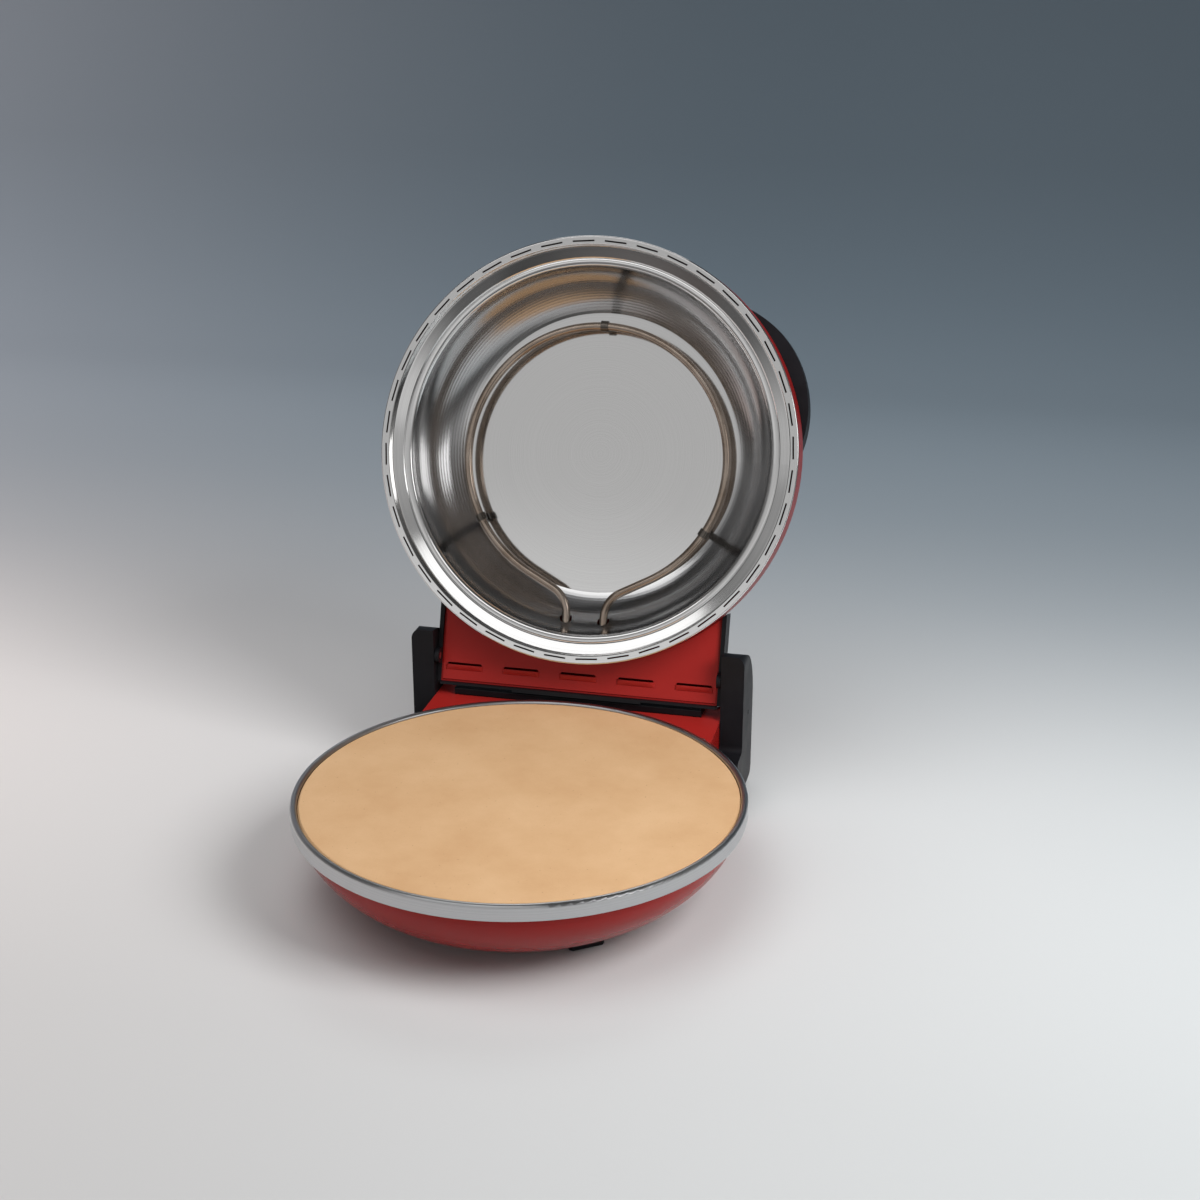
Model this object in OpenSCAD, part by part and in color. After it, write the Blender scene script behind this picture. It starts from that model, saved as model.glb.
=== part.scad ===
// Round electric pizza maker: a stone set flush in a shallow bowl, and a domed lid that hinges at the back.
// Millimetres, +Z up. The origin is the centre of the stone's top face, and the front of the oven faces -Y.
// Lid pieces are written as they lie with the lid shut, and lid_pose() then swings them open.

/* [Stone] */
// Diameter of the baking stone
stone_d = 330; // [300:5:345]
// Thickness of the baking stone
stone_t = 12; // [9:0.5:16]
// Gap between the stone's edge and the metal round it
stone_gap = 0.5; // [0.3:0.1:0.8]
// Bevel of the stone's lower edge
stone_bevel = 3.4; // [3.2:0.1:4.2]

/* [Base rim] */
// Diameter of the rolled bead round the stone
bead_d = 5.2; // [4:0.1:6.5]
// How far the bead stands above the stone
bead_proud = 1.8; // [1:0.1:2.4]
// Height of the bright band from the bead's top to its lower edge
band_h = 12.1; // [11:0.1:14]
// Thickness of the bright band
band_t = 1; // [0.8:0.1:1.5]

/* [Base shell] */
// Sheet thickness of the painted base shell
shell_t = 1.2; // [0.8:0.1:2]
// Height of the stone's top face above the table
base_h = 78; // [74:1:90]
// How far the bowl steps in under the band
bowl_step = 4.5; // [3.8:0.1:6]
// How far the bowl's flat bottom lies inside its top edge
bowl_flat_in = 74.2; // [68:0.2:86]
// Roundness of the bowl's side, where 2 is an ellipse
bowl_power = 1.62; // [1.56:0.02:2]
// How much narrower than the rim the rear housing is, on each side
rear_in = 49.2; // [44:0.2:62]
// Distance from the rim to the back wall
rear_reach = 37.3; // [35:0.1:48]
// Corner radius of the rear housing
rear_corner_r = 14; // [8:1:22]
// Depth of the rear deck below the stone's top face
deck_drop = 5; // [4:0.5:7]
// Thickness of the rear deck
deck_t = 1.5; // [1:0.1:2.5]
// Depth of the heat dish below the stone
dish_depth = 30; // [24:1:34]
// Sheet thickness of the heat dish
dish_t = 1; // [0.8:0.1:1.5]

/* [Hinge] */
// Distance from the rim back to the hinge axis
hinge_reach = 7.8; // [6.5:0.1:11]
// Height of the hinge axis above the stone's top face
hinge_z = 28.5; // [27.5:0.5:31]
// Angle of the open lid from shut
open_deg = 108; // [98:1:112]
// Radius of the hinge pins
pin_r = 3; // [2.5:0.25:4]
// Radial running clearance of the lid arms on the pins
pin_play = 0.05; // [0.02:0.01:0.1]
// Width of each hinge cheek
cheek_w = 19; // [17:0.5:24]
// Height of the hinge cheeks above the stone's top face
cheek_rise = 52.5; // [50:0.5:58]
// Side play between the lid arms and the cheeks
arm_play = 0.5; // [0.3:0.1:1]
// Thickness of each lid arm
arm_t = 3.5; // [3:0.1:5]

/* [Lid] */
// How far the lid's painted dome stands out past the rim
lid_out = 2.7; // [1.4:0.1:3.8]
// Gap between the shut lid and the bead
lid_gap = 0.7; // [0.4:0.1:1.5]
// Height of the dome above the lid's rim
dome_h = 88; // [84:1:100]
// Height of the upright part of the dome's side
dome_wall_h = 26; // [18:1:32]
// Roundness of the dome, where 2 is an ellipse
dome_power = 2.2; // [2:0.05:2.6]
// Sheet thickness of the dome
dome_t = 1.2; // [0.8:0.1:1.8]
// Radius of the barrel at the lid's tail, about the hinge axis
tail_r = 22.3; // [21:0.1:23]
// Height of the tail's underside above the rim
tail_z = 32; // [30.5:0.5:34]
// Number of vents in the tail
vent_count = 5; // [3:1:7]
// Length of each vent
vent_len = 30; // [20:1:34]
// Width of each vent
vent_w = 3; // [2:0.5:4]

/* [Lid liner] */
// Sheet thickness of the bright liner
liner_t = 1; // [0.8:0.1:1.4]
// Width of the liner's flat outer ring
flange_w = 7.3; // [6:0.1:8]
// Distance from the lid's edge in to the lip where the liner turns into the bowl
lip_in = 16.9; // [15:0.1:19]
// Height of that lip above the rim
lip_z = 10.7; // [8:0.5:13]
// Fall of the sloping ring between the flange and the lip
ring_fall = 3; // [1:0.5:6]
// Height of the rounded bead on the lip
lip_bead_h = 1; // [0.4:0.1:1.6]
// Distance from the lid's edge in to the bowl's mouth
mouth_in = 23.4; // [21:0.1:28]
// Width of the liner's curved wall, from its mouth to its flat middle
wall_w = 33; // [26:0.5:40]
// Depth of the liner's flat middle
liner_depth = 58; // [54:1:62]
// Number of narrow slots round the liner's flange
slot_count = 40; // [24:1:44]
// Length of each slot
slot_len = 18; // [10:1:19]
// Width of each slot
slot_w = 1.3; // [1:0.1:1.6]

/* [Heating elements] */
// Diameter of the element tubes
tube_d = 6.8; // [5:0.2:8]
// Angle of the faint crease where the liner's wall meets its flat disc
wall_crease = 16; // [8:1:24]
// Gap from the disc's edge in to the upper loop's centre line
loop_in = 7; // [2:0.5:12]
// Height of the upper element above the lid's rim
upper_loop_z = 42; // [38:0.5:46]
// Distance of the upper loop's centre behind the lid's centre
upper_loop_y = 5.5; // [0:0.5:8]
// Half the angle left open at the back of an element's loop
loop_open_deg = 28; // [24:1:32]
// Radius of the bends at the ends of an element's loop
leg_bend_r = 24.5; // [20:0.5:28]
// Distance between the two ends of an element
leg_pitch = 32; // [26:1:40]
// How far the lower element's loop lies inside the dish's floor
lower_loop_in = 30; // [24:1:42]
// Depth of the lower element below the stone
lower_loop_drop = 14; // [12:1:18]

/* [Controls] */
// Radius of the housing's two rounded lobes as a share of the lid's radius
pod_share = 0.519; // [0.48:0.001:0.522]
// How far the lobes stand out past the lid's edge
pod_out = 0.1; // [0:0.1:0.6]
// Distance of the lobes' centres in front of the lid's centre
pod_y = 42; // [36:0.5:44]
// How far the housing reaches behind the lid's centre
pod_back = 28; // [16:1:38]
// Height of the housing above the dome
pod_rise = 17; // [14:0.5:19]
// Height of the housing's underside above the rim
pod_low = 40; // [36:1:46]
// Wall of the control housing
pod_t = 2.5; // [2:0.1:3.2]
// Height of the flat seats of the knobs above the rim
seat_top = 102; // [101:0.5:106]
// Radius of the flat seats of the knobs
seat_r = 30; // [27.5:0.5:33]
// Diameter of the control knobs
knob_d = 46; // [36:1:48]
// Height of the control knobs
knob_h = 17; // [12:1:22]
// How far the knobs stand outside the lobes' centres
knob_out = 4.5; // [0:0.5:8]
// How far the knobs stand in front of the lobes' centres
knob_front = 3; // [-2:0.5:6]
// Radius of the knob spindles
spindle_r = 3; // [2.5:0.25:4]
// How far inside the lid's edge the curved handle bar lies
handle_in = 13.4; // [10.5:0.1:17]
// Half the angle that the handle spans
handle_half_deg = 23; // [19:1:25]
// Height of the middle of the handle bar above the rim
handle_z = 83; // [81:0.5:86]
// Width of the handle bar
handle_w = 14; // [12:0.5:16]
// Height of the handle bar
handle_h = 15; // [13:0.5:17]

/* [Feet and cable] */
// Height of the feet under the bowl's flat bottom
foot_h = 6; // [5:0.5:8]
// Distance of the front feet's middle inside the edge of the bowl's flat bottom, sideways
foot_x_in = 28; // [22:1:34]
// The same, forward
foot_y_in = 23; // [20:1:30]
// Turn of the front feet towards the bowl's radius
foot_turn = 36; // [0:1:45]
// Radius of the mains cable's opening in the gland
cable_r = 3.6; // [3:0.1:4.5]

/* [Hidden] */
$fn = 96;

paint = [0.62, 0.05, 0.06];
bright = [0.80, 0.81, 0.82];
steel = [0.62, 0.63, 0.65];
element_steel = [0.42, 0.37, 0.32];
plastic = [0.09, 0.10, 0.11];
rubber = [0.06, 0.06, 0.06];
ceramic = [0.90, 0.87, 0.80];
stone_colour = [0.90, 0.79, 0.62];
wool = [0.86, 0.80, 0.55];
lamp_red = [0.85, 0.15, 0.08];

curve_steps = 24;
seat_gap = 0.2;
over = 1;

// Base rim, from the stone outwards
stone_r = stone_d / 2;
bead_r = bead_d / 2;
bead_line_r = stone_r + stone_gap + bead_r;
rim_r = bead_line_r + bead_r;
rear_half = rim_r - rear_in;
rear_w = 2 * rear_half;
rear_y = rim_r + rear_reach;
hinge_y = rim_r + hinge_reach;
lid_r = rim_r + lid_out;
lip_r = lid_r - lip_in;
dish_mouth_r = lid_r - mouth_in;
liner_flat_r = dish_mouth_r - wall_w;
upper_loop_r = liner_flat_r - loop_in;
bead_z = bead_proud - bead_r;
band_low = bead_proud - band_h;

// Base shell: an upright collar behind the band, a ledge, and the bowl under it
collar_r = rim_r - band_t - 0.3;
collar_top_z = bead_z - bead_r - 0.2;
bowl_r = rim_r - bowl_step;
bowl_floor_r = bowl_r - bowl_flat_in;
foot_x = bowl_floor_r - foot_x_in;
foot_y = bowl_floor_r - foot_y_in;
floor_z = -base_h;
bowl_low_z = floor_z + foot_h;
rear_low_z = bowl_low_z + 5;
deck_z = -deck_drop;
deck_clear = 0.6;
wall_top_z = deck_z - deck_t;
rear_start_y = 40;

// Heat dish: its flange lies under the stone, inside the bowl
dish_top_z = -stone_t;
dish_floor_z = dish_top_z - dish_depth;
dish_flange_r = bowl_r - shell_t - 0.5;
dish_well_r = stone_r - 15;
dish_floor_r = stone_r - 37;
lower_loop_r = dish_floor_r - lower_loop_in;
lower_tube_z = dish_top_z - lower_loop_drop;
lower_leg_end = hinge_y - 12;
collar_seat_y = dish_well_r - 12;

// Hinge
lid_z = bead_proud + lid_gap;
hinge_up = hinge_z - lid_z;
cheek_in = rear_half + 0.4;
cheek_out = cheek_in + cheek_w;
arm_out = cheek_in - arm_play;
arm_in = arm_out - arm_t;
cheek_front_y = hinge_y - pin_r - 3.5;
cheek_back_y = rear_y + 14;
cheek_toe_y = cheek_front_y - 23;
cheek_ledge_z = -31;
cheek_low_z = floor_z + 7;
cheek_edge_r = 9;
cheek_edge_top = cheek_rise + 0.8;
pin_seat = 14;
arm_eye_r = pin_r + 3.5;
arm_front_z = tail_z - 3;
stop_r = 3;
stop_along = 8;
stop_off = tail_r + stop_r + 0.3;

// Tail
tail_half = arm_in - 0.1;
tail_root_y = lid_r - 62;
plate_top_z = tail_z + dome_t;
plate_end_y = hinge_y + sqrt(pow(tail_r - dome_t - 0.2, 2) - pow(plate_top_z - hinge_up, 2));
trim_t = 3.4;
trim_thin_t = 1.8;
trim_mid_half = 55;
trim_reach_r = tail_r + seat_gap + trim_t;
vent_pitch = 2 * tail_half / (vent_count - 0.2);
tail_end_y = hinge_y + sqrt(pow(tail_r, 2) - pow(tail_z - hinge_up, 2));
vent_y = tail_end_y - 14.7;
bar_front_y = hinge_y - 2.5;
bar_back_y = rear_y - 2;
bar_top_z = hinge_z - trim_reach_r - 1.2;
bar_half = rear_half - 16;

// Liner
roll_r = 1.2;
flange_in_r = lid_r - flange_w;
ring_z = lip_z - ring_fall;
mouth_z = lip_z + 1.4;
upper_leg_end = dish_mouth_r + 4;
upper_seat_y = dish_mouth_r - 2;
upper_collar_y = dish_mouth_r - wall_w * 0.22;
wall_h = liner_depth - mouth_z - 1;
crease_q = wall_w * tan(wall_crease) / wall_h;
crease_c = crease_q / (1 - crease_q);
wall_turn = acos(crease_c);
wall_a = wall_w / (1 - crease_c);
wall_b = wall_h / sin(wall_turn);

// Controls
pod_r = lid_r * pod_share;
pod_x = lid_r + pod_out - pod_r;
knob_x = pod_x + knob_out;
knob_y = pod_y + knob_front;
handle_r = lid_r - handle_in;
pod_clear = 0.3;
ring_h = 1.2;
ring_w = 5;
knob_lift = 0.6;
spindle_play = 0.05;
lamp_r = 4;
lamp_x = 11;
lamp_y = pod_y + pod_r - 34;
body_w = 38;
body_d = 32;
body_low = liner_depth + 8;
body_top = seat_top - pod_t - seat_gap;

function hypot(a, b) = sqrt(a * a + b * b);

// Quarter of a superellipse from (r0, z0), where it is upright, to (r1, z0 + h), where it is level
function super_arc(r0, r1, z0, h, p, n = curve_steps) =
    [for (i = [0 : n])
        let (t = 90 * i / n)
        [r1 + (r0 - r1) * pow(cos(t), 2 / p), z0 + h * pow(sin(t), 2 / p)]];

function reversed(list) = [for (i = [len(list) - 1 : -1 : 0]) list[i]];

// Height of the dome above the rim at radius r, for the dome grown by g
function dome_at(r, g = 0) = dome_wall_h + (dome_h - dome_wall_h + g)
    * pow(1 - pow(min(1, r / (lid_r + g)), dome_power), 1 / dome_power);

// Swings the shut lid's pieces to the open position of the photograph
module lid_pose() {
    translate([0, hinge_y, hinge_z])
        rotate([-open_deg, 0, 0])
            translate([0, -hinge_y, lid_z - hinge_z])
                children();
}

module both_sides() {
    children();
    mirror([1, 0, 0])
        children();
}

module x_rod(r, x0, x1, fn = 48) {
    translate([x0, 0, 0])
        rotate([0, 90, 0])
            cylinder(r = r, h = x1 - x0, $fn = fn);
}

module y_rod(r, y0, y1, fn = 48) {
    translate([0, y0, 0])
        rotate([-90, 0, 0])
            cylinder(r = r, h = y1 - y0, $fn = fn);
}

// Extrudes an outline drawn as (y, z) along X
module side_profile(x0, x1) {
    translate([x0, 0, 0])
        rotate([90, 0, 90])
            linear_extrude(height = x1 - x0)
                children();
}

// Extrudes an outline drawn as (x, z) along Y
module front_profile(y0, y1) {
    translate([0, y1, 0])
        rotate([90, 0, 0])
            linear_extrude(height = y1 - y0)
                children();
}

module rounded_rect(x0, y0, x1, y1, r) {
    translate([x0 + r, y0])
        square([x1 - x0 - 2 * r, y1 - y0]);
    translate([x0, y0 + r])
        square([x1 - x0, y1 - y0 - 2 * r]);
    for (x = [x0 + r, x1 - r], y = [y0 + r, y1 - r])
        translate([x, y])
            circle(r = r, $fn = 48);
}

module slot_cut(len, w, h) {
    translate([-len / 2 + w / 2, -w / 2, 0])
        cube([len - w, w, h]);
    for (s = [-1, 1])
        translate([s * (len - w) / 2, 0, 0])
            cylinder(r = w / 2, h = h, $fn = 32);
}

// Bowl under the band, shrunk by t all round
module bowl_solid(t, top) {
    rotate_extrude($fn = 160)
        polygon(concat([[0, top], [bowl_r - t, top]],
            super_arc(bowl_r - t, bowl_floor_r, band_low, bowl_low_z + t - band_low, bowl_power),
            [[0, bowl_low_z + t]]));
}

// Rear housing's block shrunk by t, with a rounded lower back edge, cut clear of the band in front
module rear_solid(t, top) {
    r = rear_corner_r - t;
    difference() {
        side_profile(-rear_half + t, rear_half - t) {
            translate([rear_start_y, rear_low_z + t])
                square([rear_y - rear_corner_r - rear_start_y, top - rear_low_z - t]);
            translate([rear_start_y, rear_low_z + rear_corner_r])
                square([rear_y - t - rear_start_y, top - rear_low_z - rear_corner_r]);
            translate([rear_y - rear_corner_r, rear_low_z + rear_corner_r])
                circle(r = r, $fn = 64);
        }
        translate([0, 0, band_low - 0.2])
            cylinder(r = rim_r + 0.4, h = 30, $fn = 160);
    }
}

module base_shell() {
    vent_z = -30;
    color(paint)
    difference() {
        union() {
            bowl_solid(0, band_low + shell_t);
            translate([0, 0, band_low])
                cylinder(r = collar_r, h = collar_top_z - band_low, $fn = 160);
            rear_solid(0, wall_top_z);
        }
        bowl_solid(shell_t, 5);
        translate([0, 0, band_low + shell_t])
            cylinder(r = collar_r - shell_t, h = 20, $fn = 160);
        rear_solid(shell_t, 5);
        // Cooling slots in the back wall
        for (i = [-3 : 3], z = [vent_z, vent_z - 10])
            translate([i * 16, rear_y + over, z])
                rotate([90, 0, 0])
                    slot_cut(11, 3, shell_t + 2 * over);
        // Opening for the cable gland
        translate([gland_x, 0, gland_z])
            y_rod(gland_neck_r + 0.1, rear_y - 5, rear_y + 5);
        // Screw holes over the feet
        foot_places()
            cylinder(r = 1.7, h = 40, center = true, $fn = 32);
        // Screw holes behind the cheeks
        cheek_screw_places()
            x_rod(1.7, rear_half - 5, rear_half + 5, 24);
    }
}

gland_x = rear_half - 36;
gland_z = -46;
gland_neck_r = 7;

// Bright band and its rolled bead. The band stops where the rear housing begins
module rim_band() {
    color(bright)
    union() {
        rotate_extrude($fn = 160)
            translate([bead_line_r, bead_z])
                circle(r = bead_r, $fn = 32);
        difference() {
            rotate_extrude($fn = 160)
                translate([rim_r - band_t, band_low])
                    square([band_t, bead_z - band_low]);
            translate([-rear_half - 0.5, 40, band_low - over])
                cube([rear_w + 1, 200, bead_z - bead_r * 0.5 - band_low + over]);
        }
    }
}

// Small clips that close the bead where the band stops
module rim_clips() {
    clip_r = rim_r + seat_gap;
    color(bright)
    both_sides()
        rotate([0, 0, acos((rear_half - 6) / (clip_r + 2.4))])
            translate([clip_r, 0, deck_z])
                union() {
                    translate([0, -3.5, 0.1])
                        cube([5, 7, 1.2]);
                    translate([2.6, 0, 1.3])
                        cylinder(r = 2, h = 1.4, $fn = 32);
                    translate([2.6, 0, 2.7])
                        cylinder(r = 1.2, h = 0.8, $fn = 32);
                }
}

// Outline of half the dish: flange under the stone, rounded shoulder, curved well and flat floor
module heat_dish() {
    h = dish_top_z - 2 - dish_floor_z;
    color(steel)
    difference() {
        rotate_extrude($fn = 160) {
            translate([dish_well_r, dish_top_z - dish_t])
                square([dish_flange_r - dish_well_r, dish_t]);
            polygon(concat([[dish_well_r, dish_top_z]],
                super_arc(dish_well_r, dish_floor_r, dish_top_z - 2, -h, 2.4),
                [[0, dish_floor_z], [0, dish_floor_z - dish_t]],
                reversed(super_arc(dish_well_r + dish_t, dish_floor_r, dish_top_z - 2, -h - dish_t, 2.4)),
                [[dish_well_r + dish_t, dish_top_z]]));
        }
        for (s = [-1, 1])
            translate([s * leg_pitch / 2, 0, lower_tube_z])
                y_rod(tube_d / 2 + 1.6, dish_floor_r - 4, stone_r);
    }
}

module pizza_stone() {
    edge = 1.2;
    color(stone_colour)
    rotate_extrude($fn = 180)
        polygon([[0, 0], [stone_r - edge, 0], [stone_r, -edge], [stone_r, stone_bevel - stone_t],
            [stone_r - stone_bevel, -stone_t], [0, -stone_t]]);
}

// Element tube: a loop open at the back, whose ends run in along the tangent and bend out beside each other
module element_tube(loop_r, leg_end) {
    r = tube_d / 2;
    w = loop_open_deg;
    leg_x = leg_pitch / 2;
    run = ((loop_r + leg_bend_r) * sin(w) - leg_x - leg_bend_r) / cos(w);
    bend_y = loop_r * cos(w) + run * sin(w) + leg_bend_r * cos(w);
    rotate([0, 0, w + 90])
        rotate_extrude(angle = 360 - 2 * w, $fn = 128)
            translate([loop_r, 0])
                circle(r = r, $fn = 24);
    both_sides() {
        translate([loop_r * sin(w), loop_r * cos(w), 0])
            rotate([0, 0, 90 - w])
                y_rod(r - 0.01, -0.3, run + 0.3, 24);
        translate([leg_x + leg_bend_r, bend_y, 0])
            rotate([0, 0, 180])
                rotate_extrude(angle = 90 - w, $fn = 64)
                    translate([leg_bend_r, 0])
                        circle(r = r, $fn = 24);
        translate([leg_x, 0, 0])
            y_rod(r - 0.01, bend_y - 0.3, leg_end, 24);
    }
}

module lower_element() {
    color(element_steel)
        translate([0, 0, lower_tube_z])
            element_tube(lower_loop_r, lower_leg_end);
}

// Strap over a tube, with two flat tabs on the sheet below it
module clip_saddle(tube_z, seat_z) {
    w = 8;
    sheet = 1;
    r_in = tube_d / 2 + seat_gap;
    r_out = r_in + sheet;
    front_profile(-w / 2, w / 2) {
        translate([0, tube_z])
            difference() {
                circle(r = r_out, $fn = 32);
                circle(r = r_in, $fn = 32);
                translate([-r_out - over, -r_out - over])
                    square([2 * (r_out + over), r_out + over]);
            }
        for (s = [-1, 1])
            translate([s * (r_in + sheet / 2) - sheet / 2, seat_z])
                square([sheet, tube_z - seat_z + 0.01]);
        for (s = [-1, 1])
            translate([s * (r_in + 3) - 3, seat_z])
                square([6, sheet]);
    }
}

module lower_element_clips() {
    color(steel)
    for (a = [200, 270, 340])
        rotate([0, 0, a])
            translate([lower_loop_r, 0, 0])
                clip_saddle(lower_tube_z, dish_floor_z);
}

// Ceramic bushes that hold the element's ends where they leave the dish
module lower_element_collars() {
    color(ceramic)
    for (s = [-1, 1])
        translate([s * leg_pitch / 2, 0, lower_tube_z])
            difference() {
                union() {
                    y_rod(tube_d / 2 + 1.4, collar_seat_y, dish_well_r + 8, 40);
                    y_rod(tube_d / 2 + 4, dish_well_r + 2, dish_well_r + 8, 40);
                }
                y_rod(tube_d / 2 + 0.1, collar_seat_y - over, dish_well_r + 9, 32);
            }
}

module rear_deck() {
    color(paint)
    difference() {
        translate([-rear_half, rear_start_y, wall_top_z])
            cube([rear_w, rear_y - rear_start_y, deck_t]);
        translate([0, 0, wall_top_z - over])
            cylinder(r = rim_r + deck_clear, h = deck_t + 2 * over, $fn = 160);
        deck_screw_places()
            cylinder(r = 1.7, h = 10, center = true, $fn = 24);
    }
}

module deck_screw_places() {
    for (x = [-rear_half + 7, rear_half - 7])
        translate([x, rear_y - 8, deck_z])
            children();
}

module deck_screws() {
    color(steel)
    deck_screw_places()
        union() {
            cylinder(r = 3, h = 1.6, $fn = 32);
            translate([0, 0, -5])
                cylinder(r = 1.5, h = 5.01, $fn = 24);
        }
}

// Ribbed bar on the deck, under the lid's tail
module hinge_bar() {
    color(plastic)
    difference() {
        side_profile(-bar_half, bar_half)
            rounded_rect(bar_front_y, deck_z, bar_back_y, bar_top_z, 1.2);
        for (y = [bar_front_y + 5 : 4 : bar_back_y - 4])
            translate([0, y, bar_top_z])
                x_rod(0.7, -bar_half + 4, bar_half - 4, 24);
    }
}

// Outline of a hinge cheek, drawn as (y, z)
module cheek_outline() {
    shoulder_r = cheek_back_y - cheek_front_y + 1.5;
    fillet_r = 5;
    toe_r = 6;
    heel_r = 8;
    difference() {
        union() {
            // Upright under a long rounded shoulder
            intersection() {
                translate([cheek_front_y - 1.5, cheek_rise - shoulder_r])
                    circle(r = shoulder_r, $fn = 128);
                translate([cheek_front_y, cheek_rise - shoulder_r])
                    square([shoulder_r + over, shoulder_r + over]);
            }
            translate([cheek_front_y, cheek_ledge_z])
                square([cheek_back_y - cheek_front_y, cheek_rise - shoulder_r - cheek_ledge_z]);
            // Foot that reaches forward along the bowl, with rounded toe and heel
            translate([cheek_toe_y + toe_r, cheek_low_z])
                square([cheek_back_y - heel_r - cheek_toe_y - toe_r, cheek_ledge_z - cheek_low_z + 0.01]);
            translate([cheek_toe_y, cheek_low_z])
                square([toe_r + 0.01, cheek_ledge_z - toe_r - cheek_low_z]);
            translate([cheek_toe_y + toe_r, cheek_ledge_z - toe_r])
                circle(r = toe_r, $fn = 48);
            translate([cheek_back_y - heel_r - 0.01, cheek_low_z + heel_r])
                square([heel_r + 0.01, cheek_ledge_z - cheek_low_z - heel_r + 0.01]);
            translate([cheek_back_y - heel_r, cheek_low_z + heel_r])
                circle(r = heel_r, $fn = 48);
            // Fillet between the upright and the foot
            translate([cheek_front_y - fillet_r, cheek_ledge_z - over])
                square([fillet_r + over, fillet_r + over]);
        }
        translate([cheek_front_y - fillet_r - 0.2, cheek_ledge_z + fillet_r + 0.2])
            circle(r = fillet_r + 0.05, $fn = 48);
    }
}

module hinge_cheek() {
    color(plastic)
    difference() {
        union() {
            intersection() {
                side_profile(cheek_in, cheek_out)
                    cheek_outline();
                // Rounded outer top edge, seen from the front
                front_profile(cheek_toe_y - over, cheek_back_y + over) {
                    translate([cheek_in - over, cheek_low_z - over])
                        square([cheek_w - cheek_edge_r + over, cheek_edge_top - cheek_low_z + over]);
                    translate([cheek_in - over, cheek_low_z - over])
                        square([cheek_w + over, cheek_edge_top - cheek_edge_r - cheek_low_z + over]);
                    translate([cheek_out - cheek_edge_r, cheek_edge_top - cheek_edge_r])
                        circle(r = cheek_edge_r, $fn = 48);
                }
            }
            // Stop that the arm's back edge comes against when the lid is open
            stop_place()
                x_rod(stop_r, arm_in + 0.6, cheek_in + 0.01, 40);
        }
        translate([0, hinge_y, hinge_z])
            x_rod(pin_r + 0.02, cheek_in - over, cheek_in + pin_seat + 0.5);
        // Hole of the fixing screw on the outer side, and the one low on the toe
        translate([0, cheek_front_y + 27, -6])
            x_rod(1.9, cheek_out - 6, cheek_out + over, 24);
        translate([0, cheek_toe_y + 10, -50])
            x_rod(2.6, cheek_out - 2, cheek_out + over, 24);
        // Core taken out from the inner side, below the deck
        side_profile(cheek_in - over, cheek_in + cheek_w - 4)
            rounded_rect(cheek_front_y + 6, cheek_low_z + 6, cheek_back_y - 30, -16, 4);
        side_profile(cheek_in - over, cheek_in + cheek_w - 4)
            rounded_rect(cheek_back_y - 26, cheek_low_z + 6, cheek_back_y - 5, -16, 4);
        cheek_screw_places()
            x_rod(1.5, cheek_in - over, cheek_in + 8, 24);
    }
}

// Centre line of the stop, on the side of the open arm that faces back and down
module stop_place() {
    turn = 180 - open_deg;
    translate([0, hinge_y + stop_along * cos(turn) + stop_off * sin(turn),
        hinge_z + stop_along * sin(turn) - stop_off * cos(turn)])
        children();
}

module hinge_cheek_right() {
    hinge_cheek();
}

module hinge_cheek_left() {
    mirror([1, 0, 0])
        hinge_cheek();
}

module cheek_screw_places() {
    both_sides()
        for (z = [-26, -54])
            translate([0, cheek_back_y - 28, z])
                children();
}

module cheek_screws() {
    color(steel)
    cheek_screw_places()
        union() {
            x_rod(3.2, rear_half - shell_t - 1.8, rear_half - shell_t, 32);
            x_rod(1.45, rear_half - shell_t - 0.01, cheek_in + 7, 24);
        }
}

module hinge_pin() {
    color(steel)
    translate([0, hinge_y, hinge_z])
        x_rod(pin_r, arm_in + 0.2, cheek_in + pin_seat);
}

module hinge_pin_right() {
    hinge_pin();
}

module hinge_pin_left() {
    mirror([1, 0, 0])
        hinge_pin();
}

rear_foot_x = rear_half - 24;
rear_foot_y = rear_y - 26;
pad_h = 2;
pad_r = 10;
pad_in = 0.8;
foot_w = 27;
foot_d = 25;

// The sole of each foot, at table height
module foot_places() {
    both_sides()
        translate([foot_x, -foot_y, floor_z])
            children();
    both_sides()
        translate([rear_foot_x, rear_foot_y, floor_z])
            children();
}

// Block with its four upright edges bevelled
module foot_block(x, y, top, turn = 0) {
    bevel = 4;
    side = (foot_w + foot_d) / 2 - bevel / 2;
    translate([x, y, floor_z + pad_h - pad_in])
        rotate([0, 0, turn])
        intersection() {
            translate([-foot_w / 2, -foot_d / 2, 0])
                cube([foot_w, foot_d, top - floor_z - pad_h + pad_in]);
            rotate([0, 0, 45])
                translate([-side / sqrt(2), -side / sqrt(2), -over])
                    cube([side * sqrt(2), side * sqrt(2), 60]);
        }
}

module foot_hollows(x, y) {
    translate([x, y, floor_z - over])
        cylinder(r = pad_r + 0.1, h = pad_h + over, $fn = 48);
    translate([x, y, floor_z - over])
        cylinder(r = 1.5, h = 60, $fn = 24);
}

module front_feet() {
    color(plastic)
    both_sides()
        difference() {
            foot_block(foot_x, -foot_y, -50, foot_turn);
            bowl_solid(-0.15, 5);
            foot_hollows(foot_x, -foot_y);
        }
}

module rear_feet() {
    color(plastic)
    both_sides()
        difference() {
            foot_block(rear_foot_x, rear_foot_y, rear_low_z);
            foot_hollows(rear_foot_x, rear_foot_y);
        }
}

module foot_pads() {
    color(rubber)
    foot_places()
        cylinder(r = pad_r, h = pad_h, $fn = 48);
}

module foot_screws() {
    color(steel)
    foot_places()
        translate([0, 0, pad_h])
            cylinder(r = 1.45, h = 14, $fn = 24);
}

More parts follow.
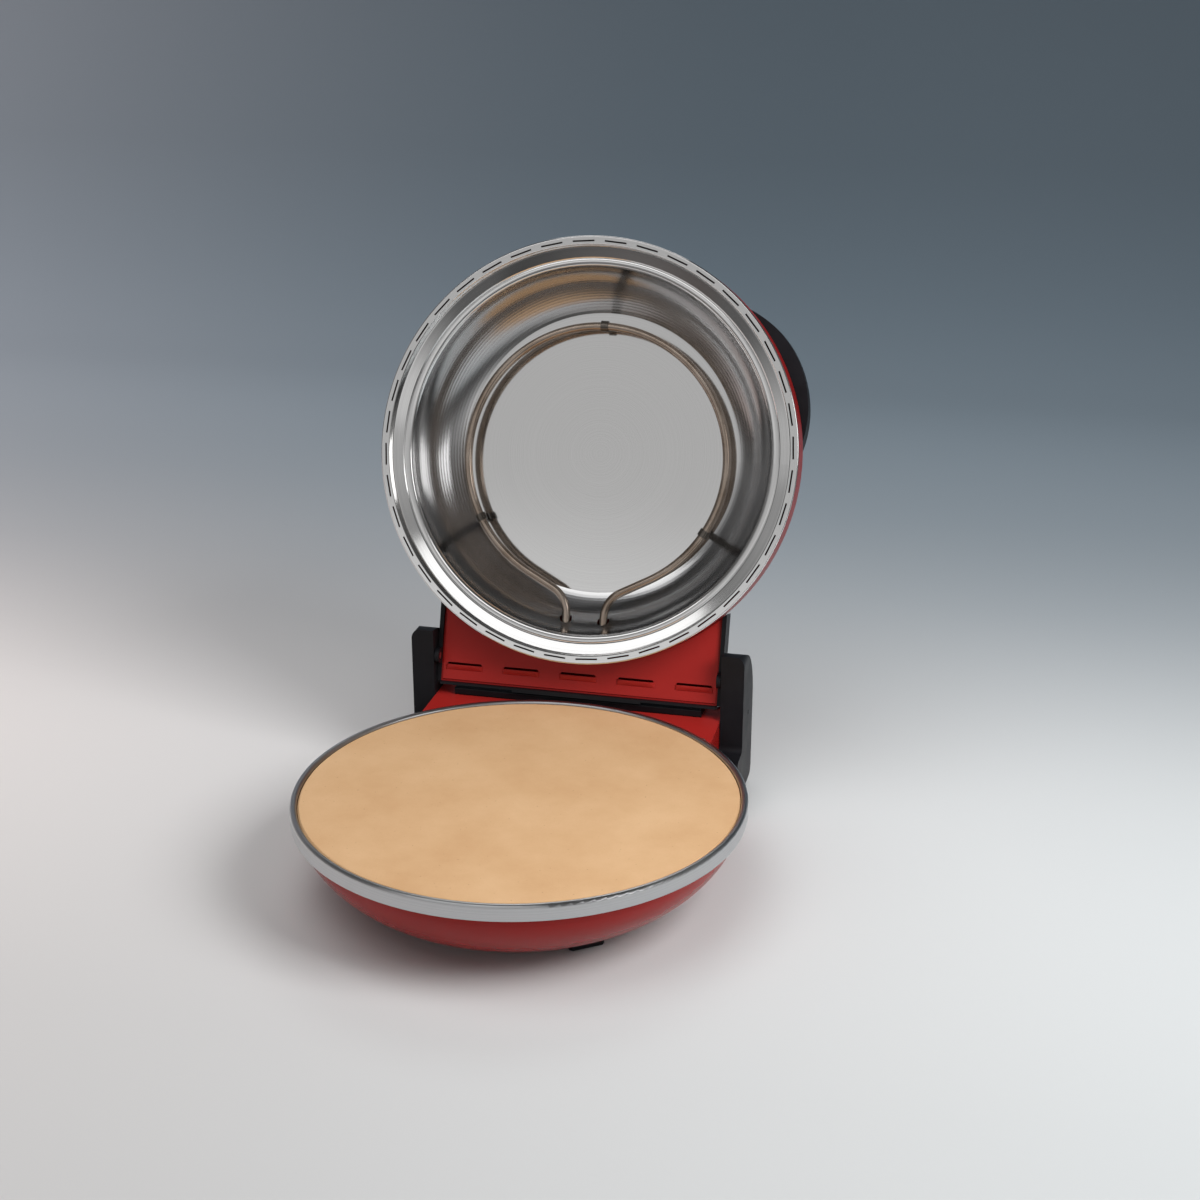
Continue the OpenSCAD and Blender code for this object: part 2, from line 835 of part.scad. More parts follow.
module cable_gland() {
    color(plastic)
    translate([gland_x, 0, gland_z])
        difference() {
            union() {
                y_rod(gland_neck_r, rear_y - 7, rear_y + 0.3);
                y_rod(gland_neck_r + 3, rear_y + 0.1, rear_y + 3);
                y_rod(gland_neck_r - 1, rear_y + 2.9, rear_y + 6);
                y_rod(gland_neck_r + 2, rear_y - 6, rear_y - shell_t - 0.2);
            }
            y_rod(cable_r, rear_y - 10, rear_y + 30);
        }
}

block_x = 34 - rear_half;
block_z = rear_low_z + rear_corner_r + 1;

module terminal_block() {
    depth = 14;
    color(ceramic)
    difference() {
        translate([block_x - 24, rear_y - shell_t - seat_gap - depth, block_z])
            cube([48, depth, 12]);
        for (i = [-1 : 1])
            translate([block_x + i * 15, 0, block_z + 6])
                y_rod(2.2, rear_y - 30, rear_y - shell_t - seat_gap - 3, 24);
    }
}

// Dome of the lid, grown by g, down to just under the rim
module dome_solid(g) {
    rotate_extrude($fn = 160)
        polygon(concat([[0, -over], [lid_r + g, -over]],
            super_arc(lid_r + g, 0, dome_wall_h, dome_h - dome_wall_h + g, dome_power)));
}

// Outline of the tail as (y, z), shrunk by t: flat underside, barrel round the hinge axis
module tail_outline(t) {
    intersection() {
        translate([hinge_y, hinge_up])
            circle(r = tail_r - t, $fn = 96);
        translate([hinge_y - over, tail_z - (t > 0 ? over : 0)])
            square([60, 60]);
    }
    translate([tail_root_y, tail_z - (t > 0 ? over : 0)])
        square([hinge_y - tail_root_y, hinge_up + tail_r - t - tail_z + (t > 0 ? over : 0)]);
}

module lid_shell() {
    color(paint)
    lid_pose()
    difference() {
        union() {
            dome_solid(0);
            side_profile(-tail_half, tail_half)
                tail_outline(0);
        }
        dome_solid(-dome_t);
        translate([0, 0, -2])
            cylinder(r = lid_r + 5, h = 2 + roll_r * 2 + 0.2, $fn = 160);
        side_profile(-tail_half + dome_t, tail_half - dome_t)
            tail_outline(dome_t);
        // Openings that the control bodies drop through
        for (s = [-1, 1])
            translate([s * knob_x - body_w / 2 - 1, -knob_y - body_d / 2 - 1, body_low])
                cube([body_w + 2, body_d + 2, 40]);
        // Holes of the arm screws
        arm_screw_places()
            x_rod(1.6, tail_half - 5, tail_half + over, 24);
    }
}

// Inner face of the liner from its outer ring to the middle, as (radius, height)
lip_bead_r = (lip_r - dish_mouth_r) / 2 - 0.4;
lip_bead_mid_r = dish_mouth_r + 0.8 + lip_bead_r;
lip_bead = [for (i = [0 : 10])
    let (t = 180 * i / 10, base_z = lip_z + (mouth_z - lip_z) * i / 10)
    [lip_bead_mid_r + lip_bead_r * cos(t), base_z - lip_bead_h * sin(t)]];
// Its wall is part of an ellipse, upright at the mouth and creased at the disc
liner_wall = [for (i = [0 : 24])
    let (t = wall_turn * i / 24)
    [dish_mouth_r - wall_a * (1 - cos(t)), mouth_z + 1 + wall_b * sin(t)]];
liner_face = concat(
    [[lid_r - roll_r, 0], [flange_in_r + 0.8, 0], [flange_in_r + 0.3, 0.3], [flange_in_r, 1],
        [flange_in_r - 0.3, ring_z - 0.8], [flange_in_r - 0.7, ring_z - 0.2],
        [flange_in_r - 1.4, ring_z], [lip_r + 1, lip_z - 0.5], [lip_r + 0.3, lip_z]],
    lip_bead,
    liner_wall,
    [[0, liner_depth]]);

module lid_liner() {
    back = [for (p = liner_face)
        let (on_wall = p[0] < dish_mouth_r + 1 && p[0] > liner_flat_r)
        let (on_step = p[0] < flange_in_r + 0.9 && p[0] > flange_in_r - 1.5)
        [p[0] + (on_wall || on_step ? liner_t * 0.8 : 0), p[1] + liner_t]];
    color(bright)
    lid_pose()
    difference() {
        union() {
            rotate_extrude($fn = 160)
                translate([lid_r - roll_r, roll_r])
                    circle(r = roll_r, $fn = 24);
            rotate_extrude($fn = 160)
                polygon(concat(liner_face, reversed(back)));
        }
        for (i = [0 : slot_count - 1])
            rotate([0, 0, (i + 0.5) * 360 / slot_count])
                translate([(lid_r + flange_in_r) / 2 - slot_w / 2 - 0.8, -slot_len / 2, -over])
                    cube([slot_w, slot_len, 3]);
        for (s = [-1, 1])
            translate([s * leg_pitch / 2, 0, upper_loop_z])
                y_rod(tube_d / 2 + 1.6, upper_collar_y - 14, lip_r, 40);
    }
}

module upper_element() {
    color(element_steel)
    lid_pose()
        translate([0, upper_loop_y, upper_loop_z])
            element_tube(upper_loop_r, upper_leg_end - upper_loop_y);
}

// Hangers that hold the tube under the liner's flat middle
module upper_element_clips() {
    r_in = tube_d / 2 + seat_gap;
    color(steel)
    lid_pose()
    translate([0, upper_loop_y, 0])
    for (a = [30, 150, 270])
        rotate([0, 0, a])
            translate([upper_loop_r, 0, 0])
                front_profile(-3, 3) {
                    translate([0, upper_loop_z])
                        difference() {
                            circle(r = r_in + 1, $fn = 32);
                            circle(r = r_in, $fn = 32);
                        }
                    translate([-0.5, upper_loop_z + r_in + 0.3])
                        square([1, liner_depth - 1 - upper_loop_z - r_in - 0.3]);
                    translate([-3, liner_depth - 1.6])
                        square([5, 1]);
                }
}

module upper_element_collars() {
    color(bright)
    lid_pose()
    for (s = [-1, 1])
        translate([s * leg_pitch / 2, 0, upper_loop_z])
            difference() {
                union() {
                    y_rod(tube_d / 2 + 1.4, upper_collar_y, upper_leg_end - 2, 40);
                    y_rod(tube_d / 2 + 3.5, upper_seat_y, upper_leg_end - 2, 40);
                }
                y_rod(tube_d / 2 + 0.1, upper_collar_y - over, upper_leg_end, 32);
            }
}

module insulation_pad() {
    color(wool)
    lid_pose()
        translate([0, 0, liner_depth + liner_t + seat_gap])
            cylinder(r = liner_flat_r - 2, h = 5, $fn = 96);
}

// Painted plate that closes the tail's underside, with a row of vents near its back edge
module tail_vent_plate() {
    half = tail_half - dome_t - 0.1;
    color(paint)
    lid_pose()
    difference() {
        translate([-half, tail_root_y, tail_z])
            cube([2 * half, plate_end_y - tail_root_y, dome_t]);
        translate([0, 0, tail_z - over])
            cylinder(r = lid_r + 0.1, h = 5, $fn = 160);
        for (i = [0 : vent_count - 1])
            translate([(i - (vent_count - 1) / 2) * vent_pitch, vent_y, tail_z - over])
                slot_cut(vent_len, vent_w, dome_t + 2 * over);
    }
}

// Black strip round the lower edge of the barrel, thicker in the middle
module tail_trim() {
    color(plastic)
    lid_pose()
    union() {
        side_profile(-trim_mid_half, trim_mid_half)
            trim_outline(trim_t);
        for (x = [-tail_half, trim_mid_half - 0.01])
            side_profile(x, x + tail_half - trim_mid_half + 0.01)
                trim_outline(trim_thin_t);
    }
}

module trim_outline(t) {
    intersection() {
        translate([hinge_y, hinge_up])
            difference() {
                circle(r = tail_r + seat_gap + t, $fn = 96);
                circle(r = tail_r + seat_gap, $fn = 96);
            }
        translate([hinge_y + 8, tail_z - 3])
            square([30, 15]);
    }
}

// Side arm of the lid as (y, z): an end cap for the tail, with an eye that hangs down round the pin
module arm_outline() {
    translate([hinge_y, hinge_up])
        circle(r = arm_eye_r, $fn = 64);
    translate([hinge_y - arm_eye_r, hinge_up])
        square([2 * arm_eye_r, tail_z - hinge_up + over]);
    intersection() {
        translate([hinge_y, hinge_up])
            circle(r = tail_r, $fn = 96);
        translate([hinge_y - over, tail_z])
            square([60, 60]);
    }
    translate([lid_r - 50, arm_front_z])
        square([hinge_y - lid_r + 50, hinge_up + tail_r - arm_front_z]);
}

module lid_arm() {
    color(plastic)
    lid_pose()
    difference() {
        side_profile(arm_in, arm_out)
            arm_outline();
        translate([0, hinge_y, hinge_up])
            x_rod(pin_r + pin_play, arm_in - over, arm_out + over);
        translate([0, 0, -5])
            cylinder(r = lid_r + seat_gap, h = 100, $fn = 160);
        arm_screw_places()
            x_rod(1.5, arm_in - over, arm_in + 2.5, 24);
    }
}

module lid_arm_right() {
    lid_arm();
}

module lid_arm_left() {
    mirror([1, 0, 0])
        lid_arm();
}

module arm_screw_places() {
    both_sides()
        for (y = [hinge_y - 34, hinge_y - 18])
            translate([0, y, tail_z + 7])
                children();
}

module arm_screws() {
    color(steel)
    lid_pose()
    arm_screw_places()
        union() {
            x_rod(2.8, tail_half - dome_t - 1.6, tail_half - dome_t, 32);
            x_rod(1.45, tail_half - dome_t - 0.01, arm_in + 2.2, 24);
        }
}

// Plan of the control housing: two round lobes joined across the front, cut straight at the back
module pod_plan(g) {
    difference() {
        union() {
            for (s = [-1, 1])
                translate([s * pod_x, -pod_y])
                    circle(r = pod_r + g, $fn = 160);
            translate([-pod_x, -pod_y - pod_r - g])
                square([2 * pod_x, pod_r + pod_y + pod_back + 2 * g]);
        }
        translate([-2 * lid_r, pod_back + g])
            square([4 * lid_r, lid_r]);
    }
}

// Housing's body: the plan carried up to a surface that follows the dome
module pod_form(g) {
    intersection() {
        translate([0, 0, pod_low - g])
            linear_extrude(height = 100)
                pod_plan(g);
        dome_solid(pod_rise + g);
    }
}

module knob_places() {
    for (s = [-1, 1])
        translate([s * knob_x, -knob_y, 0])
            children();
}

module control_housing() {
    color(plastic)
    lid_pose()
    difference() {
        union() {
            pod_form(0);
            knob_places()
                translate([0, 0, 60])
                    cylinder(r = seat_r, h = seat_top - 60, $fn = 96);
        }
        dome_solid(pod_clear);
        pod_form(-pod_t);
        knob_places()
            translate([0, 0, 50])
                cylinder(r = seat_r - pod_t, h = seat_top - pod_t - 50, $fn = 96);
        knob_places()
            translate([0, 0, seat_top - 10])
                cylinder(r = spindle_r + 0.6, h = 20, $fn = 48);
        lamp_places()
            cylinder(r = lamp_r + 0.1, h = 30, center = true, $fn = 32);
    }
}

module lamp_places() {
    for (s = [-1, 1])
        translate([s * lamp_x, -lamp_y, dome_at(lamp_y, pod_rise)])
            children();
}

module pilot_lamps() {
    color(lamp_red)
    lid_pose()
    lamp_places()
        union() {
            translate([0, 0, -8])
                cylinder(r = lamp_r, h = 10.01, $fn = 32);
            translate([0, 0, 2])
                cylinder(r1 = lamp_r, r2 = lamp_r - 1.4, h = 1.2, $fn = 32);
        }
}

// Curved handle bar on two arms that rise from the housing's front
module lid_handle() {
    end_x = handle_r * sin(handle_half_deg);
    end_y = handle_r * cos(handle_half_deg);
    root_y = pod_y + pod_r + seat_gap;
    root_top = dome_at(hypot(end_x, root_y), pod_rise) - 0.5;
    low = handle_z - handle_h / 2;
    high = handle_z + handle_h / 2;
    color(plastic)
    lid_pose()
    union() {
        rotate([0, 0, 270 - handle_half_deg])
            rotate_extrude(angle = 2 * handle_half_deg, $fn = 160)
                translate([handle_r, 0])
                    rounded_rect(-handle_w / 2, low, handle_w / 2, high, handle_w / 2 - 1);
        both_sides() {
            translate([end_x, -end_y, low])
                cylinder(r = handle_w / 2 - 0.3, h = handle_h, $fn = 48);
            side_profile(end_x - handle_w / 2 + 1, end_x + handle_w / 2 - 1)
                polygon([[-root_y, root_top - handle_h], [-root_y, root_top], [-end_y + 2, high - 0.5],
                    [-end_y - 2, high - 0.5], [-end_y - 2, low + 0.5], [-end_y + 3, low + 0.5]]);
        }
    }
}

module control_body(side) {
    color(steel)
    lid_pose()
    translate([side * knob_x, -knob_y, body_low])
        difference() {
            translate([-body_w / 2, -body_d / 2, 0])
                cube([body_w, body_d, body_top - body_low]);
            translate([0, 0, 10])
                cylinder(r = spindle_r + spindle_play, h = 60, $fn = 48);
        }
}

module timer_body() {
    control_body(-1);
}

module thermostat_body() {
    control_body(1);
}

module dial_rings() {
    color(bright)
    lid_pose()
    knob_places()
        translate([0, 0, seat_top])
            difference() {
                cylinder(r = knob_d / 2 + ring_w, h = ring_h, $fn = 96);
                translate([0, 0, -over])
                    cylinder(r = knob_d / 2 - 5, h = ring_h + 2 * over, $fn = 96);
            }
}

// Round knob with a raised finger grip across it
module control_knob(side) {
    r = knob_d / 2;
    grip = 9;
    color(plastic)
    lid_pose()
    translate([side * knob_x, -knob_y, seat_top + ring_h + knob_lift])
        difference() {
            union() {
                cylinder(r = r, h = 4, $fn = 96);
                translate([0, 0, 4])
                    cylinder(r1 = r, r2 = r - 2.5, h = 2.5, $fn = 96);
                intersection() {
                    cylinder(r1 = r - 0.5, r2 = r - 2.5, h = knob_h, $fn = 96);
                    front_profile(-r, r)
                        polygon([[-grip / 2 - 1, 0], [grip / 2 + 1, 0],
                            [grip / 2, knob_h - 1.5], [grip / 2 - 1.5, knob_h],
                            [-grip / 2 + 1.5, knob_h], [-grip / 2, knob_h - 1.5]]);
                }
            }
            translate([0, 0, -over])
                cylinder(r = spindle_r + 0.02, h = knob_h - 4, $fn = 48);
        }
}

module timer_knob() {
    control_knob(-1);
}

module thermostat_knob() {
    control_knob(1);
}

module spindle(side) {
    foot = body_low + 10.5;
    color(steel)
    lid_pose()
    translate([side * knob_x, -knob_y, foot])
        cylinder(r = spindle_r, h = seat_top + ring_h + knob_lift + knob_h - 5.5 - foot, $fn = 48);
}

module timer_spindle() {
    spindle(-1);
}

module thermostat_spindle() {
    spindle(1);
}

base_shell();
rim_band();
rim_clips();
heat_dish();
pizza_stone();
lower_element();
lower_element_clips();
lower_element_collars();
rear_deck();
deck_screws();
hinge_bar();
hinge_cheek_left();
hinge_cheek_right();
cheek_screws();
hinge_pin_left();
hinge_pin_right();
front_feet();
rear_feet();
foot_pads();
foot_screws();
cable_gland();
terminal_block();
lid_shell();
lid_liner();
upper_element();
upper_element_clips();
upper_element_collars();
insulation_pad();
tail_vent_plate();
tail_trim();
lid_arm_left();
lid_arm_right();
arm_screws();
control_housing();
lid_handle();
timer_body();
thermostat_body();
dial_rings();
pilot_lamps();
timer_knob();
timer_spindle();
thermostat_knob();
thermostat_spindle();
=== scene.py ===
"""Looks of an electric countertop pizza maker with its lid swung open.

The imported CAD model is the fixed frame. This script dresses every CAD node with a procedural finish, adds the
fine surface pieces that the solids leave out, and sets a plain studio round the object. Lengths are in metres,
and the scale of a pattern is in waves or cells per metre.
"""
import logging
import math
from dataclasses import dataclass, field
from enum import Enum

import bpy
import numpy as np
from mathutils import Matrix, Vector


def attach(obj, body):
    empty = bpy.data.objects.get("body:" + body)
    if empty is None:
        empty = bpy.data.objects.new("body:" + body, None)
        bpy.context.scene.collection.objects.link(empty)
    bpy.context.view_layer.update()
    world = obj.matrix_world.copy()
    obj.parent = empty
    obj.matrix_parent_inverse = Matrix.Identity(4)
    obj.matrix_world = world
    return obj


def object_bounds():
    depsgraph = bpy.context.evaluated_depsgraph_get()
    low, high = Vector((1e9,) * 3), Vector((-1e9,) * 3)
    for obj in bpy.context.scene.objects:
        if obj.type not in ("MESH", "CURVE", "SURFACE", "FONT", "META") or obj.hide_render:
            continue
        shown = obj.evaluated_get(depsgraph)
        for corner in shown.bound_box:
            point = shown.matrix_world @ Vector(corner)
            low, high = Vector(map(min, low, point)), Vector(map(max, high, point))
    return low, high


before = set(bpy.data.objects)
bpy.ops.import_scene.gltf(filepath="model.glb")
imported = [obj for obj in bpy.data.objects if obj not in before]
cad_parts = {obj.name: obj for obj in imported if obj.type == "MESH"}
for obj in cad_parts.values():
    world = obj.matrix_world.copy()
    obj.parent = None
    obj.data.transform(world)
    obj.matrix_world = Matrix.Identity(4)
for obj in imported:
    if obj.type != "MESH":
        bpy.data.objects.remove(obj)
CAD_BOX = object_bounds()

logging.basicConfig(level=logging.INFO, format="%(message)s")
LOG = logging.getLogger("pizza_maker")

Colour = tuple[float, float, float]
Place = tuple[float, float, float]
Shape = tuple[np.ndarray, np.ndarray]
Socket = bpy.types.NodeSocket

HINGE_Y = 0.1785
HINGE_Z = 0.0285
LID_LIFT = 0.0025
OPEN_ANGLE = math.radians(108.0)


def shut_to_open(points: np.ndarray) -> np.ndarray:
    """Swings points of the shut lid to the open lid.

    y' = Y + (y - Y) cos t + (z + l - Z) sin t and z' = Z - (y - Y) sin t + (z + l - Z) cos t, where (Y, Z) is the
    hinge, l the lid's lift over the rim and t the open angle.

    Args:
        points: Array of (n, 3) in metres, z measured from the lid's rim.

    Returns:
        Array of the same shape in the shared frame.
    """
    cos_t, sin_t = math.cos(OPEN_ANGLE), math.sin(OPEN_ANGLE)
    across = points[:, 1] - HINGE_Y
    above = points[:, 2] + LID_LIFT - HINGE_Z
    return np.column_stack((points[:, 0], HINGE_Y + across * cos_t + above * sin_t,
                            HINGE_Z - across * sin_t + above * cos_t))


class Axis(Enum):
    """The line that a round brush pattern turns about."""

    BASE = "base"
    LID = "lid"


class Nodes:
    """A short way to write a node tree."""

    def __init__(self, tree: bpy.types.NodeTree) -> None:
        """Keeps the tree."""
        self.tree = tree

    def node(self, kind: str) -> bpy.types.Node:
        """Adds a node of a kind, named without its ShaderNode."""
        return self.tree.nodes.new(f"ShaderNode{kind}")

    def link(self, source: Socket, target: Socket) -> None:
        """Joins two sockets."""
        self.tree.links.new(source, target)

    def math(self, kind: str, *values: Socket | float) -> Socket:
        """Adds a Math node.

        Args:
            kind: Its operation.
            values: Sockets or numbers, in the order of its inputs.

        Returns:
            The node's result.
        """
        node = self.node("Math")
        node.operation = kind
        for index, value in enumerate(values):
            if isinstance(value, (int, float)):
                node.inputs[index].default_value = value
            else:
                self.link(value, node.inputs[index])
        return node.outputs[0]

    def spread(self, value: Socket, low: float, high: float, start: float = 0.0, stop: float = 1.0) -> Socket:
        """Maps a value to a new range, clamped.

        Args:
            value: The value.
            low: What start becomes.
            high: What stop becomes.
            start: First end of the old range.
            stop: Second end of the old range.

        Returns:
            The new value.
        """
        node = self.node("MapRange")
        for key, end in (("From Min", start), ("From Max", stop), ("To Min", low), ("To Max", high)):
            node.inputs[key].default_value = end
        self.link(value, node.inputs["Value"])
        return node.outputs["Result"]


class Graph(Nodes):
    """A short way to write a material, its patterns read on Object coordinates."""

    def __init__(self, name: str) -> None:
        """Starts an empty material with a Principled shader.

        Args:
            name: The material's name.
        """
        self.material = bpy.data.materials.new(name)
        self.material.use_nodes = True
        super().__init__(self.material.node_tree)
        self.tree.nodes.clear()
        self.shader = self.node("BsdfPrincipled")
        output = self.node("OutputMaterial")
        self.link(self.shader.outputs["BSDF"], output.inputs["Surface"])
        self.place = self.node("TexCoord").outputs["Object"]

    def set(self, **values: float) -> None:
        """Sets plain numbers on the shader, underscores standing for spaces."""
        for key, value in values.items():
            self.shader.inputs[key.replace("_", " ")].default_value = value

    def noise(self, scale: float, detail: float = 2.0, rough: float = 0.5, warp: float = 0.0,
              at: Socket | None = None) -> Socket:
        """Adds three-dimensional noise.

        Args:
            scale: Waves per metre.
            detail: Finer octaves on top of the first.
            rough: Share of each finer octave.
            warp: Distortion.
            at: Where it is read, the Object coordinates if None.

        Returns:
            Its value, 0 to 1.
        """
        node = self.node("TexNoise")
        for key, value in (("Scale", scale), ("Detail", detail), ("Roughness", rough), ("Distortion", warp)):
            node.inputs[key].default_value = value
        self.link(self.place if at is None else at, node.inputs["Vector"])
        return node.outputs["Fac"]

    def cells(self, scale: float) -> Socket:
        """Adds Voronoi cells.

        Args:
            scale: Cells per metre.

        Returns:
            The distance to each cell's point.
        """
        node = self.node("TexVoronoi")
        node.inputs["Scale"].default_value = scale
        self.link(self.place, node.inputs["Vector"])
        return node.outputs["Distance"]

    def blend(self, factor: Socket, first: Socket | Colour, second: Socket | Colour) -> Socket:
        """Mixes two colours.

        Args:
            factor: Share of the second.
            first: First colour.
            second: Second colour.

        Returns:
            The mixed colour.
        """
        node = self.node("Mix")
        node.data_type = "RGBA"
        self.link(factor, node.inputs["Factor"])
        ends = [socket for socket in node.inputs if socket.type == "RGBA"]
        for socket, value in zip(ends, (first, second)):
            if isinstance(value, tuple):
                socket.default_value = (*value, 1.0)
            else:
                self.link(value, socket)
        return next(socket for socket in node.outputs if socket.type == "RGBA")

    def tint(self, value: Socket, start: float, stop: float, first: Socket | Colour,
             second: Socket | Colour) -> Socket:
        """Goes from one colour to another while a value goes from start to stop."""
        return self.blend(self.spread(value, 0.0, 1.0, start, stop), first, second)

    def bump(self, height: Socket, depth: float, strength: float = 1.0) -> None:
        """Sends a height to the shader's normal, on top of any bump already there.

        Args:
            height: The height, 0 to 1.
            depth: Metres that a height of 1 stands for.
            strength: Share of the bump that shows.
        """
        node = self.node("Bump")
        node.inputs["Strength"].default_value = strength
        node.inputs["Distance"].default_value = depth
        self.link(height, node.inputs["Height"])
        normal = self.shader.inputs["Normal"]
        if normal.links:
            self.link(normal.links[0].from_socket, node.inputs["Normal"])
        self.link(node.outputs["Normal"], normal)

    def colour(self, source: Socket) -> None:
        """Sends a colour to the shader."""
        self.link(source, self.shader.inputs["Base Color"])

    def roughness(self, source: Socket) -> None:
        """Sends a roughness to the shader."""
        self.link(source, self.shader.inputs["Roughness"])

    def radius(self, axis: Axis) -> tuple[Socket, Socket, Socket]:
        """Works out the distance r = (x^2 + y^2)^(1/2) from the base's or the lid's own axis.

        Args:
            axis: The axis.

        Returns:
            The distance, the place in the axis's own frame, and the height along the axis.
        """
        place = self.place
        if axis is Axis.LID:
            node = self.node("Mapping")
            node.vector_type = "TEXTURE"
            node.inputs["Location"].default_value = tuple(shut_to_open(np.zeros((1, 3)))[0])
            node.inputs["Rotation"].default_value = (-OPEN_ANGLE, 0.0, 0.0)
            self.link(place, node.inputs["Vector"])
            place = node.outputs[0]
        parts = self.node("SeparateXYZ")
        self.link(place, parts.inputs[0])
        squared = self.math("ADD", self.math("MULTIPLY", parts.outputs[0], parts.outputs[0]),
                            self.math("MULTIPLY", parts.outputs[1], parts.outputs[1]))
        return self.math("SQRT", squared), place, parts.outputs[2]


@dataclass(frozen=True)
class RedEnamel:
    """Baked glossy paint with faint orange peel under a thin clear coat."""

    name: str = "red_enamel"
    shade: Colour = (0.31, 0.011, 0.009)
    deep: Colour = (0.27, 0.009, 0.007)
    gloss: float = 0.24
    coat: float = 0.08
    cloud_scale: float = 9.0
    wipe_scale: float = 24.0
    peel_scale: float = 340.0
    peel_depth: float = 0.000004
    fine_scale: float = 1900.0
    fine_depth: float = 0.000001

    def material(self) -> bpy.types.Material:
        """Builds the material: two reds mixed by broad noise, peel in waves of 3 mm with finer ones on top.

        Returns:
            The material.
        """
        graph = Graph(self.name)
        graph.colour(graph.tint(graph.noise(self.cloud_scale, 3.0), 0.35, 0.65, self.deep, self.shade))
        wiped = graph.noise(self.wipe_scale)
        graph.roughness(graph.spread(wiped, self.gloss - 0.02, self.gloss + 0.04, 0.2, 0.8))
        graph.bump(graph.noise(self.peel_scale), self.peel_depth, 0.2)
        graph.bump(graph.noise(self.fine_scale, 1.0), self.fine_depth, 0.2)
        graph.set(Metallic=0.0, Coat_Weight=self.coat, Coat_Roughness=0.06, Coat_IOR=1.5, Specular_IOR_Level=0.14)
        return graph.material


@dataclass(frozen=True)
class SpunSteel:
    """Deep-drawn sheet steel, brush marks in rings round an axis; its wall is more satin and painted darker as shade.

    Attributes:
        name: The finish's name.
        axis: The axis of the rings.
        light: Lighter tone of the rings.
        dark: Darker tone of the rings.
        low_rough: Least roughness.
        high_rough: Greatest roughness.
        groove: Depth of the rings.
        satin: Roughness that the wall adds.
        wall: Darker tone of the wall, painted shade.
        wall_span: Inner and outer radius of the wall; past the piece where there is none.
        inner_fade: Half width of the change at the wall's inner edge.
        outer_fade: Half width of the change at its outer edge.
        ring_scale: Scale of the brush marks.
        band_scale: Scale of the broader rings in the roughness.
        stain_scale: Scale of the stains in the roughness.
    """

    name: str = "spun_steel"
    axis: Axis = Axis.LID
    light: Colour = (0.76, 0.755, 0.75)
    dark: Colour = (0.68, 0.675, 0.67)
    low_rough: float = 0.13
    high_rough: float = 0.20
    groove: float = 0.000004
    satin: float = 0.0
    # Painted shade: the darker colour of the wall.
    wall: Colour = (0.50, 0.50, 0.505)
    wall_span: tuple[float, float] = (1.0, 1.1)
    inner_fade: float = 0.004
    outer_fade: float = 0.002
    ring_scale: float = 1500.0
    band_scale: float = 90.0
    stain_scale: float = 9.0

    def material(self) -> bpy.types.Material:
        """Builds the material: noise read by the distance from the axis and the height along it gives rings.

        Returns:
            The material.
        """
        graph = Graph(self.name)
        reach, place, height = graph.radius(self.axis)
        join = graph.node("CombineXYZ")
        graph.link(reach, join.inputs[0])
        graph.link(height, join.inputs[1])
        rings = graph.noise(self.ring_scale, at=join.outputs[0])
        bands = graph.noise(self.band_scale, at=join.outputs[0])
        stains = graph.noise(self.stain_scale, at=place)
        mixed = graph.math("ADD", graph.math("MULTIPLY", bands, 0.55), graph.math("MULTIPLY", stains, 0.45))
        rough = graph.spread(mixed, self.low_rough, self.high_rough, 0.3, 0.7)
        inner, outer = self.wall_span
        # Mask of the wall, where a darker colour is painted as shade and satin roughness is added.
        wall = graph.math(
            "MULTIPLY",
            graph.spread(reach, 0.0, 1.0, inner - self.inner_fade, inner + self.inner_fade),
            graph.spread(reach, 1.0, 0.0, outer - self.outer_fade, outer + self.outer_fade))
        graph.colour(graph.blend(wall, graph.tint(rings, 0.3, 0.7, self.dark, self.light), self.wall))
        graph.roughness(graph.math("ADD", rough, graph.math("MULTIPLY", wall, self.satin)))
        graph.bump(rings, self.groove, 0.35)
        graph.set(Metallic=1.0)
        return graph.material


@dataclass(frozen=True)
class BentSteel:
    """Plain zinc-plated or rolled steel of clips, screws and brackets."""

    name: str = "plain_steel"
    light: Colour = (0.62, 0.62, 0.63)
    dark: Colour = (0.42, 0.42, 0.43)
    rough: float = 0.32
    grain: float = 0.000012
    spangle_scale: float = 420.0
    grain_scale: float = 900.0

    def material(self) -> bpy.types.Material:
        """Builds the material: spangle cells and fine noise vary the colour and roughness of bare metal.

        Returns:
            The material.
        """
        graph = Graph(self.name)
        spangle = graph.cells(self.spangle_scale)
        grain = graph.noise(self.grain_scale, 3.0)
        mixed = graph.math("ADD", graph.math("MULTIPLY", spangle, 0.6), graph.math("MULTIPLY", grain, 0.5))
        graph.colour(graph.tint(mixed, 0.3, 0.8, self.dark, self.light))
        graph.roughness(graph.spread(mixed, self.rough - 0.08, self.rough + 0.1, 0.3, 0.8))
        graph.bump(grain, self.grain, 0.5)
        graph.set(Metallic=1.0)
        return graph.material


@dataclass(frozen=True)
class HeatedSheath:
    """Tubular element sheath, browned unevenly by heat."""

    name: str = "element_sheath"
    brown: Colour = (0.27, 0.21, 0.165)
    grey: Colour = (0.38, 0.315, 0.265)
    patch_scale: float = 45.0
    grain_scale: float = 1500.0
    grain: float = 0.000005

    def material(self) -> bpy.types.Material:
        """Builds the material: patches of brown oxide over grey metal and a fine drawn grain.

        Returns:
            The material.
        """
        graph = Graph(self.name)
        patches = graph.noise(self.patch_scale, 5.0, 0.6)
        graph.colour(graph.tint(patches, 0.35, 0.62, self.brown, self.grey))
        graph.roughness(graph.spread(patches, 0.17, 0.27, 0.3, 0.7))
        graph.bump(graph.noise(self.grain_scale, 3.0), self.grain, 0.4)
        graph.set(Metallic=0.9)
        return graph.material


